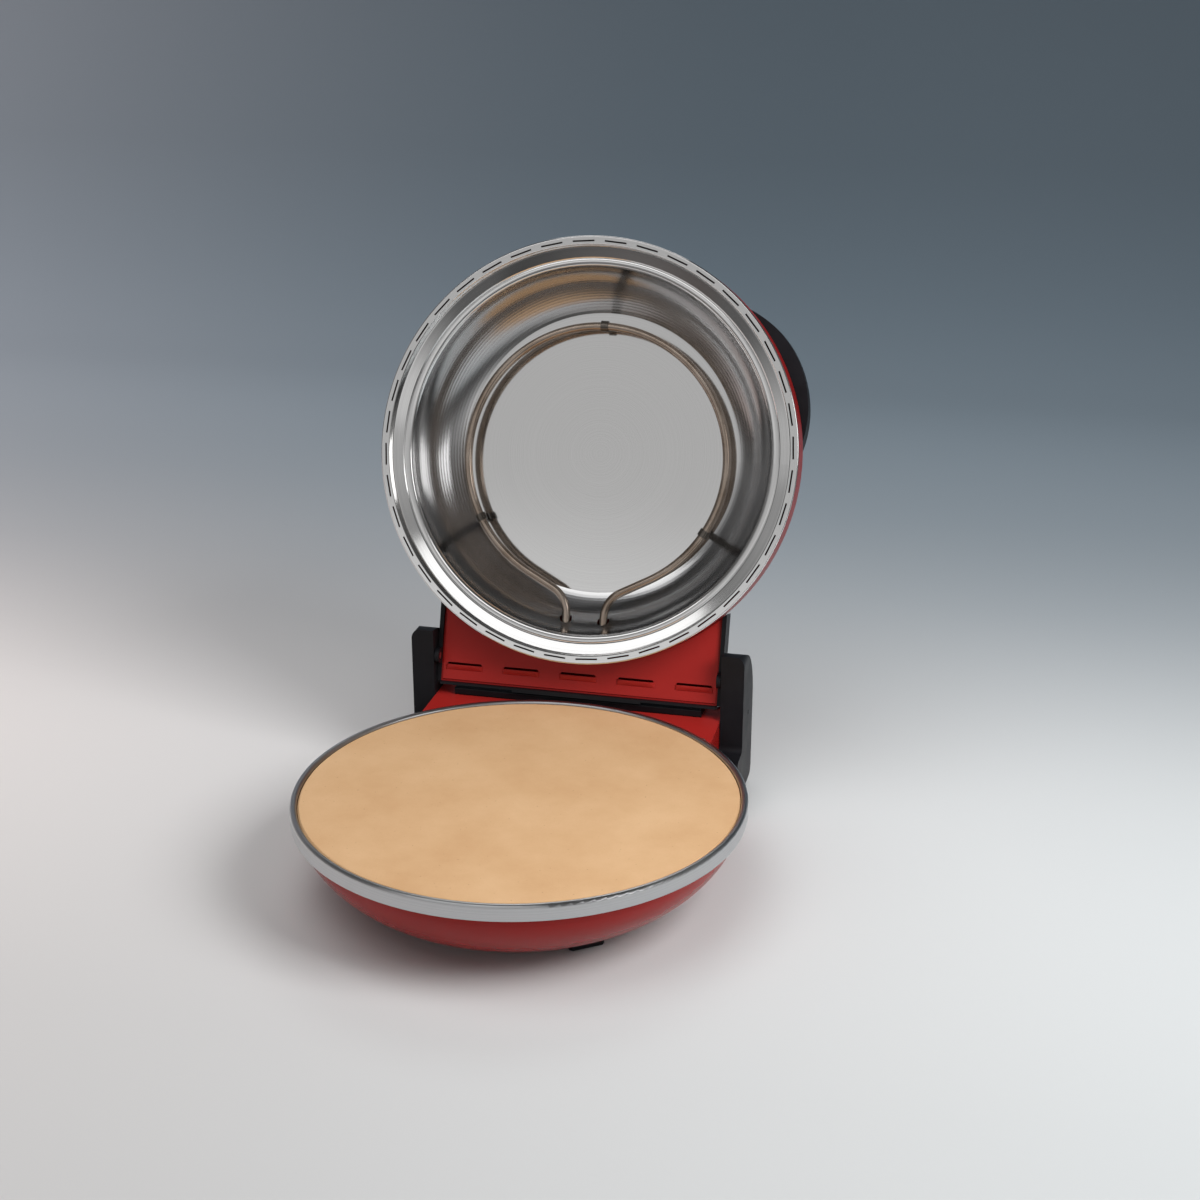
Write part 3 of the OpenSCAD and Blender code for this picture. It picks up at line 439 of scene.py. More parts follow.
@dataclass(frozen=True)
class FiredStone:
    """Cordierite baking stone: warm beige, open grain, small darker specks and faint baking marks."""

    name: str = "baking_stone"
    pale: Colour = (0.66, 0.425, 0.235)
    warm: Colour = (0.58, 0.35, 0.18)
    speck: Colour = (0.36, 0.20, 0.09)
    stain_scale: float = 14.0
    grain_scale: float = 620.0
    grain: float = 0.00018
    speck_scale: float = 260.0
    choice_scale: float = 190.0
    swell_scale: float = 60.0
    swell: float = 0.0003

    def material(self) -> bpy.types.Material:
        """Builds the material: broad stains, millimetre grain, sparse specks, and pits and swells as bump.

        Returns:
            The material.
        """
        graph = Graph(self.name)
        body = graph.tint(graph.noise(self.stain_scale, 5.0, 0.6), 0.32, 0.68, self.warm, self.pale)
        grain = graph.noise(self.grain_scale, 4.0, 0.65)
        grained = graph.blend(graph.spread(grain, 0.0, 0.35, 0.55, 0.75), body, self.warm)
        near = graph.spread(graph.cells(self.speck_scale), 1.0, 0.0, 0.05, 0.16)
        chosen = graph.spread(graph.noise(self.choice_scale, 1.0), 0.0, 1.0, 0.56, 0.62)
        specks = graph.math("MULTIPLY", graph.math("MULTIPLY", near, chosen), 0.75)
        graph.colour(graph.blend(specks, grained, self.speck))
        graph.roughness(graph.spread(grain, 0.72, 0.9, 0.3, 0.7))
        graph.bump(grain, self.grain, 0.7)
        graph.bump(graph.noise(self.swell_scale, 3.0), self.swell, 0.25)
        graph.set(Metallic=0.0, Specular_IOR_Level=0.35)
        return graph.material


@dataclass(frozen=True)
class MouldedPlastic:
    """Heat-proof moulded plastic with a fine spark-eroded grain."""

    name: str = "black_plastic"
    shade: Colour = (0.0065, 0.0065, 0.008)
    worn: Colour = (0.011, 0.011, 0.013)
    rough: float = 0.44
    grain: float = 0.00005
    mark_scale: float = 28.0
    pit_scale: float = 1500.0
    grain_scale: float = 700.0

    def material(self) -> bpy.types.Material:
        """Builds the material: grain of about a millimetre as bump, with soft handling marks in the roughness.

        Returns:
            The material.
        """
        graph = Graph(self.name)
        marks = graph.noise(self.mark_scale, 5.0, 0.65)
        graph.colour(graph.tint(marks, 0.35, 0.7, self.shade, self.worn))
        graph.roughness(graph.spread(marks, self.rough - 0.05, self.rough + 0.08, 0.3, 0.7))
        graph.bump(graph.cells(self.pit_scale), self.grain, 0.45)
        graph.bump(graph.noise(self.grain_scale, 3.0), self.grain, 0.35)
        graph.set(Metallic=0.0, Specular_IOR_Level=0.16)
        return graph.material


@dataclass(frozen=True)
class PadRubber:
    """Soft black rubber, dull and a little dusty."""

    name: str = "pad_rubber"
    black: Colour = (0.016, 0.016, 0.017)
    dusty: Colour = (0.05, 0.048, 0.046)
    dust_scale: float = 120.0
    grain_scale: float = 1300.0
    grain: float = 0.00006

    def material(self) -> bpy.types.Material:
        """Builds the material: dust noise over black, with a fine matt bump.

        Returns:
            The material.
        """
        graph = Graph(self.name)
        dust = graph.noise(self.dust_scale, 5.0, 0.7)
        graph.colour(graph.tint(dust, 0.4, 0.75, self.black, self.dusty))
        graph.roughness(graph.spread(dust, 0.75, 0.92, 0.3, 0.7))
        graph.bump(graph.noise(self.grain_scale), self.grain, 0.5)
        graph.set(Metallic=0.0, Specular_IOR_Level=0.3)
        return graph.material


@dataclass(frozen=True)
class FiredCeramic:
    """Unglazed cream ceramic of bushes and terminal blocks."""

    name: str = "bush_ceramic"
    deep: Colour = (0.66, 0.60, 0.50)
    cream: Colour = (0.78, 0.74, 0.66)
    cloud_scale: float = 90.0
    chalk_scale: float = 1100.0
    chalk: float = 0.00004

    def material(self) -> bpy.types.Material:
        """Builds the material: cream body with faint clouding and a chalky bump.

        Returns:
            The material.
        """
        graph = Graph(self.name)
        cloud = graph.noise(self.cloud_scale, 4.0, 0.6)
        graph.colour(graph.tint(cloud, 0.35, 0.7, self.deep, self.cream))
        graph.roughness(graph.spread(cloud, 0.5, 0.7, 0.3, 0.7))
        graph.bump(graph.noise(self.chalk_scale, 3.0), self.chalk, 0.5)
        return graph.material


@dataclass(frozen=True)
class GlassWool:
    """Yellow glass wool felt."""

    name: str = "glass_wool"
    deep: Colour = (0.55, 0.46, 0.20)
    pale: Colour = (0.80, 0.73, 0.46)
    fibre_scale: float = 420.0
    fibre: float = 0.0006

    def material(self) -> bpy.types.Material:
        """Builds the material: matted fibre noise in colour and bump.

        Returns:
            The material.
        """
        graph = Graph(self.name)
        fibres = graph.noise(self.fibre_scale, 6.0, 0.75, 1.5)
        graph.colour(graph.tint(fibres, 0.3, 0.7, self.deep, self.pale))
        graph.roughness(graph.spread(fibres, 0.85, 0.98))
        graph.bump(fibres, self.fibre, 0.7)
        return graph.material


@dataclass(frozen=True)
class LampLens:
    """Clear orange-red lens with fine ribs that scatter the lamp behind it."""

    name: str = "lamp_lens"
    bright: Colour = (0.62, 0.05, 0.02)
    deep: Colour = (0.36, 0.012, 0.01)
    rib_scale: float = 900.0
    rib: float = 0.00012

    def material(self) -> bpy.types.Material:
        """Builds the material: red resin, its depth varied by cells, ribs as bump, a glossy coat.

        Returns:
            The material.
        """
        graph = Graph(self.name)
        ribs = graph.cells(self.rib_scale)
        graph.colour(graph.tint(ribs, 0.1, 0.6, self.bright, self.deep))
        graph.roughness(graph.spread(ribs, 0.08, 0.2))
        graph.bump(ribs, self.rib, 0.4)
        graph.set(Transmission_Weight=0.15, Coat_Weight=0.6, Coat_Roughness=0.05, IOR=1.49)
        return graph.material


@dataclass(frozen=True)
class PrintedInk:
    """Stoved ink of the dial's marks and figures, a little thin in places."""

    name: str = "pale_ink"
    shade: Colour = (0.62, 0.62, 0.60)
    thin: Colour = (0.50, 0.50, 0.49)
    cover_scale: float = 800.0
    cover: float = 0.000006

    def material(self) -> bpy.types.Material:
        """Builds the material: the ink's cover varies by fine noise, and so does its sheen.

        Returns:
            The material.
        """
        graph = Graph(self.name)
        cover = graph.noise(self.cover_scale, 3.0)
        graph.colour(graph.tint(cover, 0.35, 0.6, self.thin, self.shade))
        graph.roughness(graph.spread(cover, 0.42, 0.6, 0.3, 0.7))
        graph.bump(cover, self.cover, 0.4)
        graph.set(Metallic=0.0, Specular_IOR_Level=0.3)
        return graph.material


class Finishes:
    """Every finish of the object, built once and handed to the pieces by name."""

    def __init__(self) -> None:
        """Builds the materials."""
        self.made: dict[str, bpy.types.Material] = {}
        for finish in (
            RedEnamel(),
            # The lid's dome wears the same red paint made darker and without its coat: painted shade.
            RedEnamel(name="lid_enamel_painted_shade", shade=(0.24, 0.008, 0.007), deep=(0.21, 0.006, 0.005), gloss=0.3, coat=0.0),
            # The tail and the rear deck wear the same red paint made lighter and more orange: painted light.
            RedEnamel(name="tail_enamel_painted_light", shade=(0.38, 0.020, 0.017), deep=(0.33, 0.017, 0.014), gloss=0.36, coat=0.05),
            # The liner's wall between these radii gets painted shade, a darker steel colour.
            SpunSteel(name="liner_steel", low_rough=0.08, high_rough=0.13, satin=0.10, wall_span=(0.119, 0.149)),
            SpunSteel(name="brushed_rim", axis=Axis.BASE, light=(0.60, 0.605, 0.61), dark=(0.50, 0.50, 0.51),
                      low_rough=0.29, high_rough=0.37, groove=0.000003),
            SpunSteel(name="dish_steel", axis=Axis.BASE, light=(0.55, 0.55, 0.56), dark=(0.42, 0.42, 0.43),
                      low_rough=0.3, high_rough=0.45),
            BentSteel(),
            BentSteel(name="control_steel", light=(0.50, 0.50, 0.51), dark=(0.36, 0.36, 0.37), rough=0.4),
            BentSteel(name="dial_ring", light=(0.70, 0.70, 0.71), dark=(0.65, 0.65, 0.66), rough=0.28, grain=0.000001),
            HeatedSheath(),
            HeatedSheath(name="clip_steel", brown=(0.075, 0.065, 0.055), grey=(0.14, 0.125, 0.11)),
            FiredStone(),
            MouldedPlastic(),
            MouldedPlastic(name="black_knob", shade=(0.014, 0.015, 0.017), worn=(0.022, 0.023, 0.026), rough=0.3,
                           grain=0.00002),
            PadRubber(),
            FiredCeramic(),
            GlassWool(),
            LampLens(),
            PrintedInk(),
            PrintedInk(name="dark_ink", shade=(0.015, 0.015, 0.016), thin=(0.035, 0.035, 0.036)),
        ):
            self.made[finish.name] = finish.material()

    def dress(self, node: str, name: str) -> None:
        """Puts a finish on a CAD node through its object's slots.

        Args:
            node: The CAD node.
            name: The finish.
        """
        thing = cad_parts[node]
        if not thing.material_slots:
            thing.data.materials.append(self.made[name])
        for slot in thing.material_slots:
            slot.material = self.made[name]
        LOG.info("dressed %s in %s", node, name)


def surface(name: str, points: np.ndarray, faces: np.ndarray, material: bpy.types.Material,
            smooth: bool = True) -> bpy.types.Object:
    """Makes an object from arrays.

    Args:
        name: Its name.
        points: Array of (n, 3) in metres.
        faces: Array of (m, 3) or (m, 4) of indices, outward by the right hand.
        material: Its finish.
        smooth: Whether its faces are shaded smooth.

    Returns:
        The object, at the origin with its place in its mesh.
    """
    mesh = bpy.data.meshes.new(name)
    mesh.from_pydata(points.tolist(), [], faces.tolist())
    mesh.materials.append(material)
    mesh.polygons.foreach_set("use_smooth", np.full(len(mesh.polygons), smooth))
    mesh.update()
    thing = bpy.data.objects.new(name, mesh)
    bpy.context.scene.collection.objects.link(thing)
    return thing


def outward(points: np.ndarray, faces: np.ndarray) -> np.ndarray:
    """Turns a closed shape's faces outward.

    Its signed volume is a sixth of the sum, over fans of each face, of a . (b x c); where it is below nought every
    face is inside out.

    Args:
        points: Array of (n, 3).
        faces: Array of (m, 3) or (m, 4).

    Returns:
        The faces, each reversed where the volume was below nought.
    """
    corner = points[faces]
    fans = [np.einsum("ij,ij->i", corner[:, 0], np.cross(corner[:, k], corner[:, k + 1])).sum()
            for k in range(1, faces.shape[1] - 1)]
    return faces if sum(fans) > 0.0 else faces[:, ::-1]


def sheet_shape(front: np.ndarray, back: np.ndarray) -> Shape:
    """Closes two grids of the same size into one thin shape, joined along their edges.

    Args:
        front: Array of (u, v, 3).
        back: Array of (u, v, 3).

    Returns:
        Points of (2uv, 3) and outward faces of (m, 4).
    """
    rows, columns = front.shape[:2]
    index = np.arange(rows * columns).reshape(rows, columns)
    quads = np.stack((index[:-1, :-1], index[1:, :-1], index[1:, 1:], index[:-1, 1:]), -1).reshape(-1, 4)
    edge = np.concatenate((index[:-1, 0], index[-1, :-1], index[:0:-1, -1], index[0, :0:-1]))
    after = np.roll(edge, -1)
    side = np.column_stack((after, edge, edge + rows * columns, after + rows * columns))
    points = np.vstack((front.reshape(-1, 3), back.reshape(-1, 3)))
    return points, outward(points, np.vstack((quads, quads[:, ::-1] + rows * columns, side)))


def ring_shape(profile: np.ndarray, centre: Place, waves: int = 0, depth: float = 0.0, steps: int = 64) -> Shape:
    """Carries a closed profile round a centre: (x, y) = c + (r + d |cos(w a / 2)|) (sin a, cos a), z as in the profile.

    Args:
        profile: Array of (k, 2) of radius and height, in metres.
        centre: Centre, with the height that the profile starts from.
        waves: Number w of flutes, or 0.
        depth: Depth d of each flute.
        steps: Number of angles a.

    Returns:
        Points of (steps k, 3) and outward faces.
    """
    angle = np.linspace(0.0, 2 * math.pi, steps, endpoint=False)[:, None]
    reach = profile[None, :, 0] + depth * np.abs(np.cos(angle * waves / 2))
    height = np.broadcast_to(profile[None, :, 1], reach.shape)
    points = np.stack((centre[0] + reach * np.sin(angle), centre[1] + reach * np.cos(angle), centre[2] + height), -1)
    index = np.arange(reach.size).reshape(reach.shape)
    right, up = np.roll(index, -1, 0), np.roll(index, -1, 1)
    faces = np.stack((index, right, np.roll(right, -1, 1), up), -1).reshape(-1, 4)
    points = points.reshape(-1, 3)
    return points, outward(points, faces)


def bar_shapes(angles: np.ndarray, reach: tuple[float, float], widths: np.ndarray, centre: Place,
               heights: tuple[float, float]) -> Shape:
    """Lays a thin bar along each angle: corners c + r (sin a, cos a) + w (cos a, -sin a) at two heights.

    Args:
        angles: Array of (k,) of angles a, clockwise from the back.
        reach: Inner and outer radius r.
        widths: Array of (k,) of half widths w.
        centre: Centre c.
        heights: Lower and upper height.

    Returns:
        Points of (8k, 3) and outward faces.
    """
    along = np.array([reach[0], reach[1], reach[1], reach[0]])
    aside = np.array([-1.0, -1.0, 1.0, 1.0])[None, :] * widths[:, None]
    turn = angles[:, None]
    flat = np.stack((centre[0] + along * np.sin(turn) + aside * np.cos(turn),
                     centre[1] + along * np.cos(turn) - aside * np.sin(turn)), -1)
    tops = [np.concatenate((flat, np.full((*flat.shape[:2], 1), centre[2] + h)), -1) for h in heights]
    points = np.concatenate(tops, 1).reshape(-1, 3)
    one = np.array([[0, 1, 2, 3], [7, 6, 5, 4], [0, 4, 5, 1], [1, 5, 6, 2], [2, 6, 7, 3], [3, 7, 4, 0]])
    faces = (one[None] + (np.arange(len(angles)) * 8)[:, None, None]).reshape(-1, 4)
    return points, outward(points, faces)


def figure_shape(label: str, size: float, thick: float) -> Shape:
    """Makes a flat figure from the built-in type, its doubled points merged.

    Args:
        label: The figure.
        size: Its size in metres.
        thick: Half its thickness.

    Returns:
        Points about the figure's middle and triangles.
    """
    curve = bpy.data.curves.new("figure", "FONT")
    curve.body, curve.size, curve.extrude = label, size, thick
    curve.align_x, curve.align_y, curve.resolution_u = "CENTER", "CENTER", 3
    thing = bpy.data.objects.new("figure", curve)
    bpy.context.scene.collection.objects.link(thing)
    mesh = bpy.data.meshes.new_from_object(thing.evaluated_get(bpy.context.evaluated_depsgraph_get()))
    mesh.calc_loop_triangles()
    points = np.zeros(len(mesh.vertices) * 3)
    mesh.vertices.foreach_get("co", points)
    faces = np.zeros(len(mesh.loop_triangles) * 3, dtype=np.int32)
    mesh.loop_triangles.foreach_get("vertices", faces)
    bpy.data.objects.remove(thing)
    bpy.data.curves.remove(curve)
    bpy.data.meshes.remove(mesh)
    points, merged = np.unique(points.reshape(-1, 3).round(7), axis=0, return_inverse=True)
    faces = merged.reshape(-1)[faces].reshape(-1, 3)
    whole = (faces[:, 0] != faces[:, 1]) & (faces[:, 1] != faces[:, 2]) & (faces[:, 2] != faces[:, 0])
    return points, faces[whole]


def joined(shapes: list[Shape]) -> Shape:
    """Puts several shapes into one.

    Args:
        shapes: The shapes.

    Returns:
        All their points, and all their faces with their indices moved on.
    """
    starts = np.cumsum([0] + [len(points) for points, _ in shapes[:-1]])
    return (np.vstack([points for points, _ in shapes]),
            np.vstack([faces + start for start, (_, faces) in zip(starts, shapes)]))


@dataclass
class Dressing:
    """A sub-assembly whose CAD nodes take named finishes and whose fine pieces ride on its bodies."""

    finishes: Finishes
    wears: dict[str, str] = field(default_factory=dict)

    def dress(self) -> None:
        """Dresses each node of the sub-assembly."""
        for node, name in self.wears.items():
            self.finishes.dress(node, name)

    def add(self, name: str, shape: Shape, finish: str, body: str, slot: str, smooth: bool = True) -> None:
        """Adds a piece worked out on the shut lid.

        Args:
            name: The piece's name.
            shape: Its points, on the shut lid, and faces.
            finish: Its finish.
            body: The body that it rides on.
            slot: The record's slot that it belongs to; not used.
            smooth: Whether its faces are shaded smooth.
        """
        piece = surface(name, shut_to_open(shape[0]), shape[1], self.finishes.made[finish], smooth)
        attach(piece, body)
        LOG.info("added %s with %d faces on %s", name, len(shape[1]), body)

    def build(self) -> None:
        """Dresses the sub-assembly, which has no fine pieces of its own."""
        self.dress()


@dataclass
class BaseUnit(Dressing):
    """The bowl, its rim, the stone and what carries them."""

    wears: dict[str, str] = field(default_factory=lambda: {
        "base_shell": "red_enamel", "rim_band": "brushed_rim", "rim_clips": "plain_steel",
        "heat_dish": "dish_steel", "pizza_stone": "baking_stone", "lower_element": "element_sheath",
        "lower_element_clips": "plain_steel", "lower_element_collars": "bush_ceramic",
        # The rear deck wears the lighter copy of the red paint, painted light.
        "rear_deck": "tail_enamel_painted_light", "deck_screws": "plain_steel", "front_feet": "black_plastic",
        "rear_feet": "black_plastic", "foot_pads": "pad_rubber", "foot_screws": "plain_steel",
        "cable_gland": "black_plastic", "terminal_block": "bush_ceramic"})


@dataclass
class HingeUnit(Dressing):
    """The cheeks, the bar between them and the pins that the lid turns on."""

    wears: dict[str, str] = field(default_factory=lambda: {
        "hinge_bar": "black_plastic", "hinge_cheek_left": "black_plastic", "hinge_cheek_right": "black_plastic",
        "cheek_screws": "plain_steel", "hinge_pin_left": "plain_steel", "hinge_pin_right": "plain_steel",
        "lid_arm_left": "black_plastic", "lid_arm_right": "black_plastic", "arm_screws": "plain_steel"})


@dataclass
class LidUnit(Dressing):
    """The dome, its bright liner, the upper element and the tail with its louvres."""

    wears: dict[str, str] = field(default_factory=lambda: {
        # The lid shell wears a darker copy of the red paint, which is painted shade.
        "lid_shell": "lid_enamel_painted_shade", "lid_liner": "liner_steel", "upper_element": "element_sheath",
        "upper_element_clips": "clip_steel", "upper_element_collars": "dial_ring",
        # The tail plate wears the lighter copy of the red paint, painted light.
        "insulation_pad": "glass_wool", "tail_vent_plate": "tail_enamel_painted_light", "tail_trim": "black_plastic",
        "lid_handle": "black_plastic"})
    vents: int = 5
    vent_pitch: float = 0.049083
    vent_y: float = 0.185824
    plate_z: float = 0.032
    hood_half: float = 0.0160
    hood_depth: float = 0.0046
    hood_rise: float = 0.0017
    hood_sheet: float = 0.0004
    hood_lap: float = 0.0003
    hood_steps: tuple[int, int] = (33, 9)

    def louvre_hoods(self) -> None:
        """Presses a hood over the lower half of each vent.

        With u from -1 to 1 along a vent and v from 0 to 1 away from it, the hood stands h = rise (1 - u^4)^(1/2)
        cos(90 v) below the plate, and its inner side is one sheet less, down to a lap inside the plate.
        """
        u = np.linspace(-1.0, 1.0, self.hood_steps[0])[:, None]
        v = np.linspace(0.0, 1.0, self.hood_steps[1])[None, :]
        rise = self.hood_rise * np.sqrt(np.maximum(1 - u ** 4, 0.0)) * np.cos(v * math.pi / 2)
        across = self.vent_y - self.hood_lap + v * self.hood_depth + 0.0 * u
        shapes = []
        for place in (np.arange(self.vents) - (self.vents - 1) / 2) * self.vent_pitch:
            along = place + u * self.hood_half + 0.0 * v
            outer = np.stack((along, across, self.plate_z - rise), -1)
            inner = np.stack((along, across, self.plate_z - np.maximum(rise - self.hood_sheet, -self.hood_lap)), -1)
            shapes.append(sheet_shape(outer, inner))
        # The hoods wear the lighter copy of the red paint, painted light.
        self.add("louvre_hoods", joined(shapes), "tail_enamel_painted_light", "lid", "red_enamel")

    def build(self) -> None:
        """Dresses the lid and presses its louvres."""
        self.dress()
        self.louvre_hoods()


@dataclass(frozen=True)
class Dial:
    """A knob's scale: the side it is on, the degrees it sweeps, its figures and the number of its marks."""

    name: str
    side: float
    sweep: float
    labels: tuple[str, ...]
    count: int


@dataclass
class ControlUnit(Dressing):
    """The black housing on the dome with its two knobs, their dials and the lamps."""

    wears: dict[str, str] = field(default_factory=lambda: {
        "control_housing": "black_plastic", "timer_body": "control_steel",
        "thermostat_body": "control_steel", "dial_rings": "dial_ring", "pilot_lamps": "lamp_lens",
        "timer_knob": "black_knob", "timer_spindle": "plain_steel", "thermostat_knob": "black_knob",
        "thermostat_spindle": "plain_steel"})
    knob_x: float = 0.088
    knob_y: float = -0.045
    seat_z: float = 0.102
    ring_z: float = 0.1032
    knob_z: float = 0.1038
    grip_z: float = 0.1208
    knob_r: float = 0.023
    lamp_x: float = 0.011
    lamp_y: float = -0.09801
    lamp_z: float = 0.09607
    lamp_r: float = 0.004
    scale_reach: tuple[float, float] = (0.0283, 0.0296)
    scale_widths: tuple[float, float] = (0.00018, 0.00035)
    figure_r: float = 0.0256
    figure_size: float = 0.0036
    figure_lift: float = 0.00002
    skirt: tuple[tuple[float, float], ...] = (
        (-0.0006, 0.0006), (0.0001, 0.0008), (0.0001, 0.0034), (-0.0006, 0.0037))
    flutes: int = 60
    flute_depth: float = 0.00035
    flute_steps: int = 480
    pointer_reach: tuple[float, float] = (0.0085, 0.0198)
    pointer_half: float = 0.0006
    pointer_heights: tuple[float, float] = (-0.0003, 0.00008)
    bezel_half: float = 0.0006
    bezel_gap: float = 0.00015
    bezel_rise: float = 0.0019
    bezel_sink: float = -0.0025
    ink: float = 0.00006
    ink_sink: float = -0.0002
    dials: tuple[Dial, ...] = (
        Dial("timer", -1.0, 300.0, ("0", "5", "10", "15", "20", "25", "30"), 31),
        Dial("thermostat", 1.0, 270.0, ("0", "1", "2", "3", "4", "5"), 21))

    def dial_marks(self) -> None:
        """Prints a scale round each knob: fine marks on the seat and figures on the bright ring.

        A figure's point (x, y) goes to c + x (cos a, -sin a) + (r + y) (sin a, cos a), where c is the dial's centre,
        r the figures' radius and a the figure's angle, clockwise from the back.
        """
        for dial in self.dials:
            centre = (dial.side * self.knob_x, self.knob_y, self.seat_z)
            angles = np.radians(np.linspace(0.0, dial.sweep, dial.count))
            major = np.arange(dial.count) % ((dial.count - 1) // (len(dial.labels) - 1)) == 0
            widths = np.where(major, self.scale_widths[1], self.scale_widths[0])
            marks = bar_shapes(angles, self.scale_reach, widths, centre, (self.ink_sink, self.ink))
            self.add(f"{dial.name}_scale", marks, "pale_ink", "lid", "black_plastic", False)
            figures = []
            for label, turn in zip(dial.labels, np.radians(np.linspace(0.0, dial.sweep, len(dial.labels)))):
                points, faces = figure_shape(label, self.figure_size, self.ink / 2)
                sin_a, cos_a = math.sin(turn), math.cos(turn)
                reach = self.figure_r + points[:, 1]
                figures.append((np.column_stack((
                    centre[0] + points[:, 0] * cos_a + reach * sin_a,
                    centre[1] - points[:, 0] * sin_a + reach * cos_a,
                    self.ring_z + self.figure_lift + points[:, 2])), faces))
            self.add(f"{dial.name}_figures", joined(figures), "dark_ink", "lid", "black_plastic", False)

    def knob_details(self) -> None:
        """Gives each knob a fluted skirt and a pale pointer line inlaid along the back end of its grip."""
        for dial in self.dials:
            centre = (dial.side * self.knob_x, self.knob_y, self.knob_z)
            profile = np.array(self.skirt) + (self.knob_r, 0.0)
            fluted = ring_shape(profile, centre, self.flutes, self.flute_depth, self.flute_steps)
            self.add(f"{dial.name}_knob_skirt", fluted, "black_knob", dial.name, "black_knob")
            line = bar_shapes(np.zeros(1), self.pointer_reach, np.full(1, self.pointer_half),
                              (centre[0], centre[1], self.grip_z), self.pointer_heights)
            self.add(f"{dial.name}_pointer", line, "pale_ink", dial.name, "black_knob", False)

    def lamp_bezels(self) -> None:
        """Sets a rolled bright bezel round each lamp: its profile is a half round on a wall that goes down inside."""
        turn = np.linspace(0.0, math.pi, 9)
        inner = self.lamp_r + self.bezel_gap
        outer = inner + 2 * self.bezel_half
        profile = np.vstack((
            np.column_stack(((inner + outer) / 2 + self.bezel_half * np.cos(turn),
                             self.bezel_rise + self.bezel_half * np.sin(turn))),
            [[inner, self.bezel_sink], [outer, self.bezel_sink]]))
        shapes = [ring_shape(profile, (side * self.lamp_x, self.lamp_y, self.lamp_z)) for side in (-1.0, 1.0)]
        self.add("lamp_bezels", joined(shapes), "dial_ring", "lid", "bright_steel")

    def build(self) -> None:
        """Dresses the controls and adds their dials, knob details and bezels."""
        self.dress()
        self.dial_marks()
        self.knob_details()
        self.lamp_bezels()


@dataclass
class PhotoCamera:
    """The camera at the photograph's place."""

    azimuth: float = math.radians(13.22)
    elevation: float = math.radians(20.87)
    distance: float = 1.5399
    target: Place = (0.02558, 0.15354, 0.100)
    lens: float = 57.75
    sensor: float = 36.0

    def build(self) -> None:
        """Adds the camera and makes it the scene's own."""
        back = np.array([math.sin(self.azimuth) * math.cos(self.elevation),
                         -math.cos(self.azimuth) * math.cos(self.elevation), math.sin(self.elevation)])
        place = np.array(self.target) + back * self.distance
        data = bpy.data.cameras.new("photo_camera")
        data.lens = self.lens
        data.sensor_width = self.sensor
        data.sensor_fit = "HORIZONTAL"
        camera = bpy.data.objects.new("photo_camera", data)
        camera.location = place
        camera.rotation_euler = (math.pi / 2 - self.elevation, 0.0, self.azimuth)
        bpy.context.scene.collection.objects.link(camera)
        bpy.context.scene.camera = camera


def fill_ramp(ramp: bpy.types.ShaderNodeValToRGB, stops: list[tuple[float, Colour]]) -> None:
    """Sets a colour ramp's stops.

    Args:
        ramp: The ramp, with the two stops that it starts with.
        stops: Places from 0 to 1, rising, and their colours.
    """
    marks = ramp.color_ramp.elements
    for spot, _ in stops[1:-1]:
        marks.new(spot)
    for mark, (spot, tone) in zip(marks, stops):
        mark.position = spot
        mark.color = (*tone, 1.0)


@dataclass(frozen=True)
class SoftLamp:
    """A rectangular soft lamp that the camera doesn't see; a fill lamp isn't seen in bright metal either."""

    name: str
    place: Place
    aim: Place
    size: tuple[float, float]
    power: float
    mirrored: bool = True

    def build(self) -> None:
        """Adds the lamp, turned to the point that it lights."""
        data = bpy.data.lights.new(self.name, "AREA")
        data.shape = "RECTANGLE"
        data.size, data.size_y = self.size
        data.energy = self.power
        thing = bpy.data.objects.new(self.name, data)
        thing.location = self.place
        thing.rotation_euler = (Vector(self.aim) - Vector(self.place)).to_track_quat("-Z", "Y").to_euler()
        thing.visible_camera = False
        thing.visible_glossy = self.mirrored
        bpy.context.scene.collection.objects.link(thing)


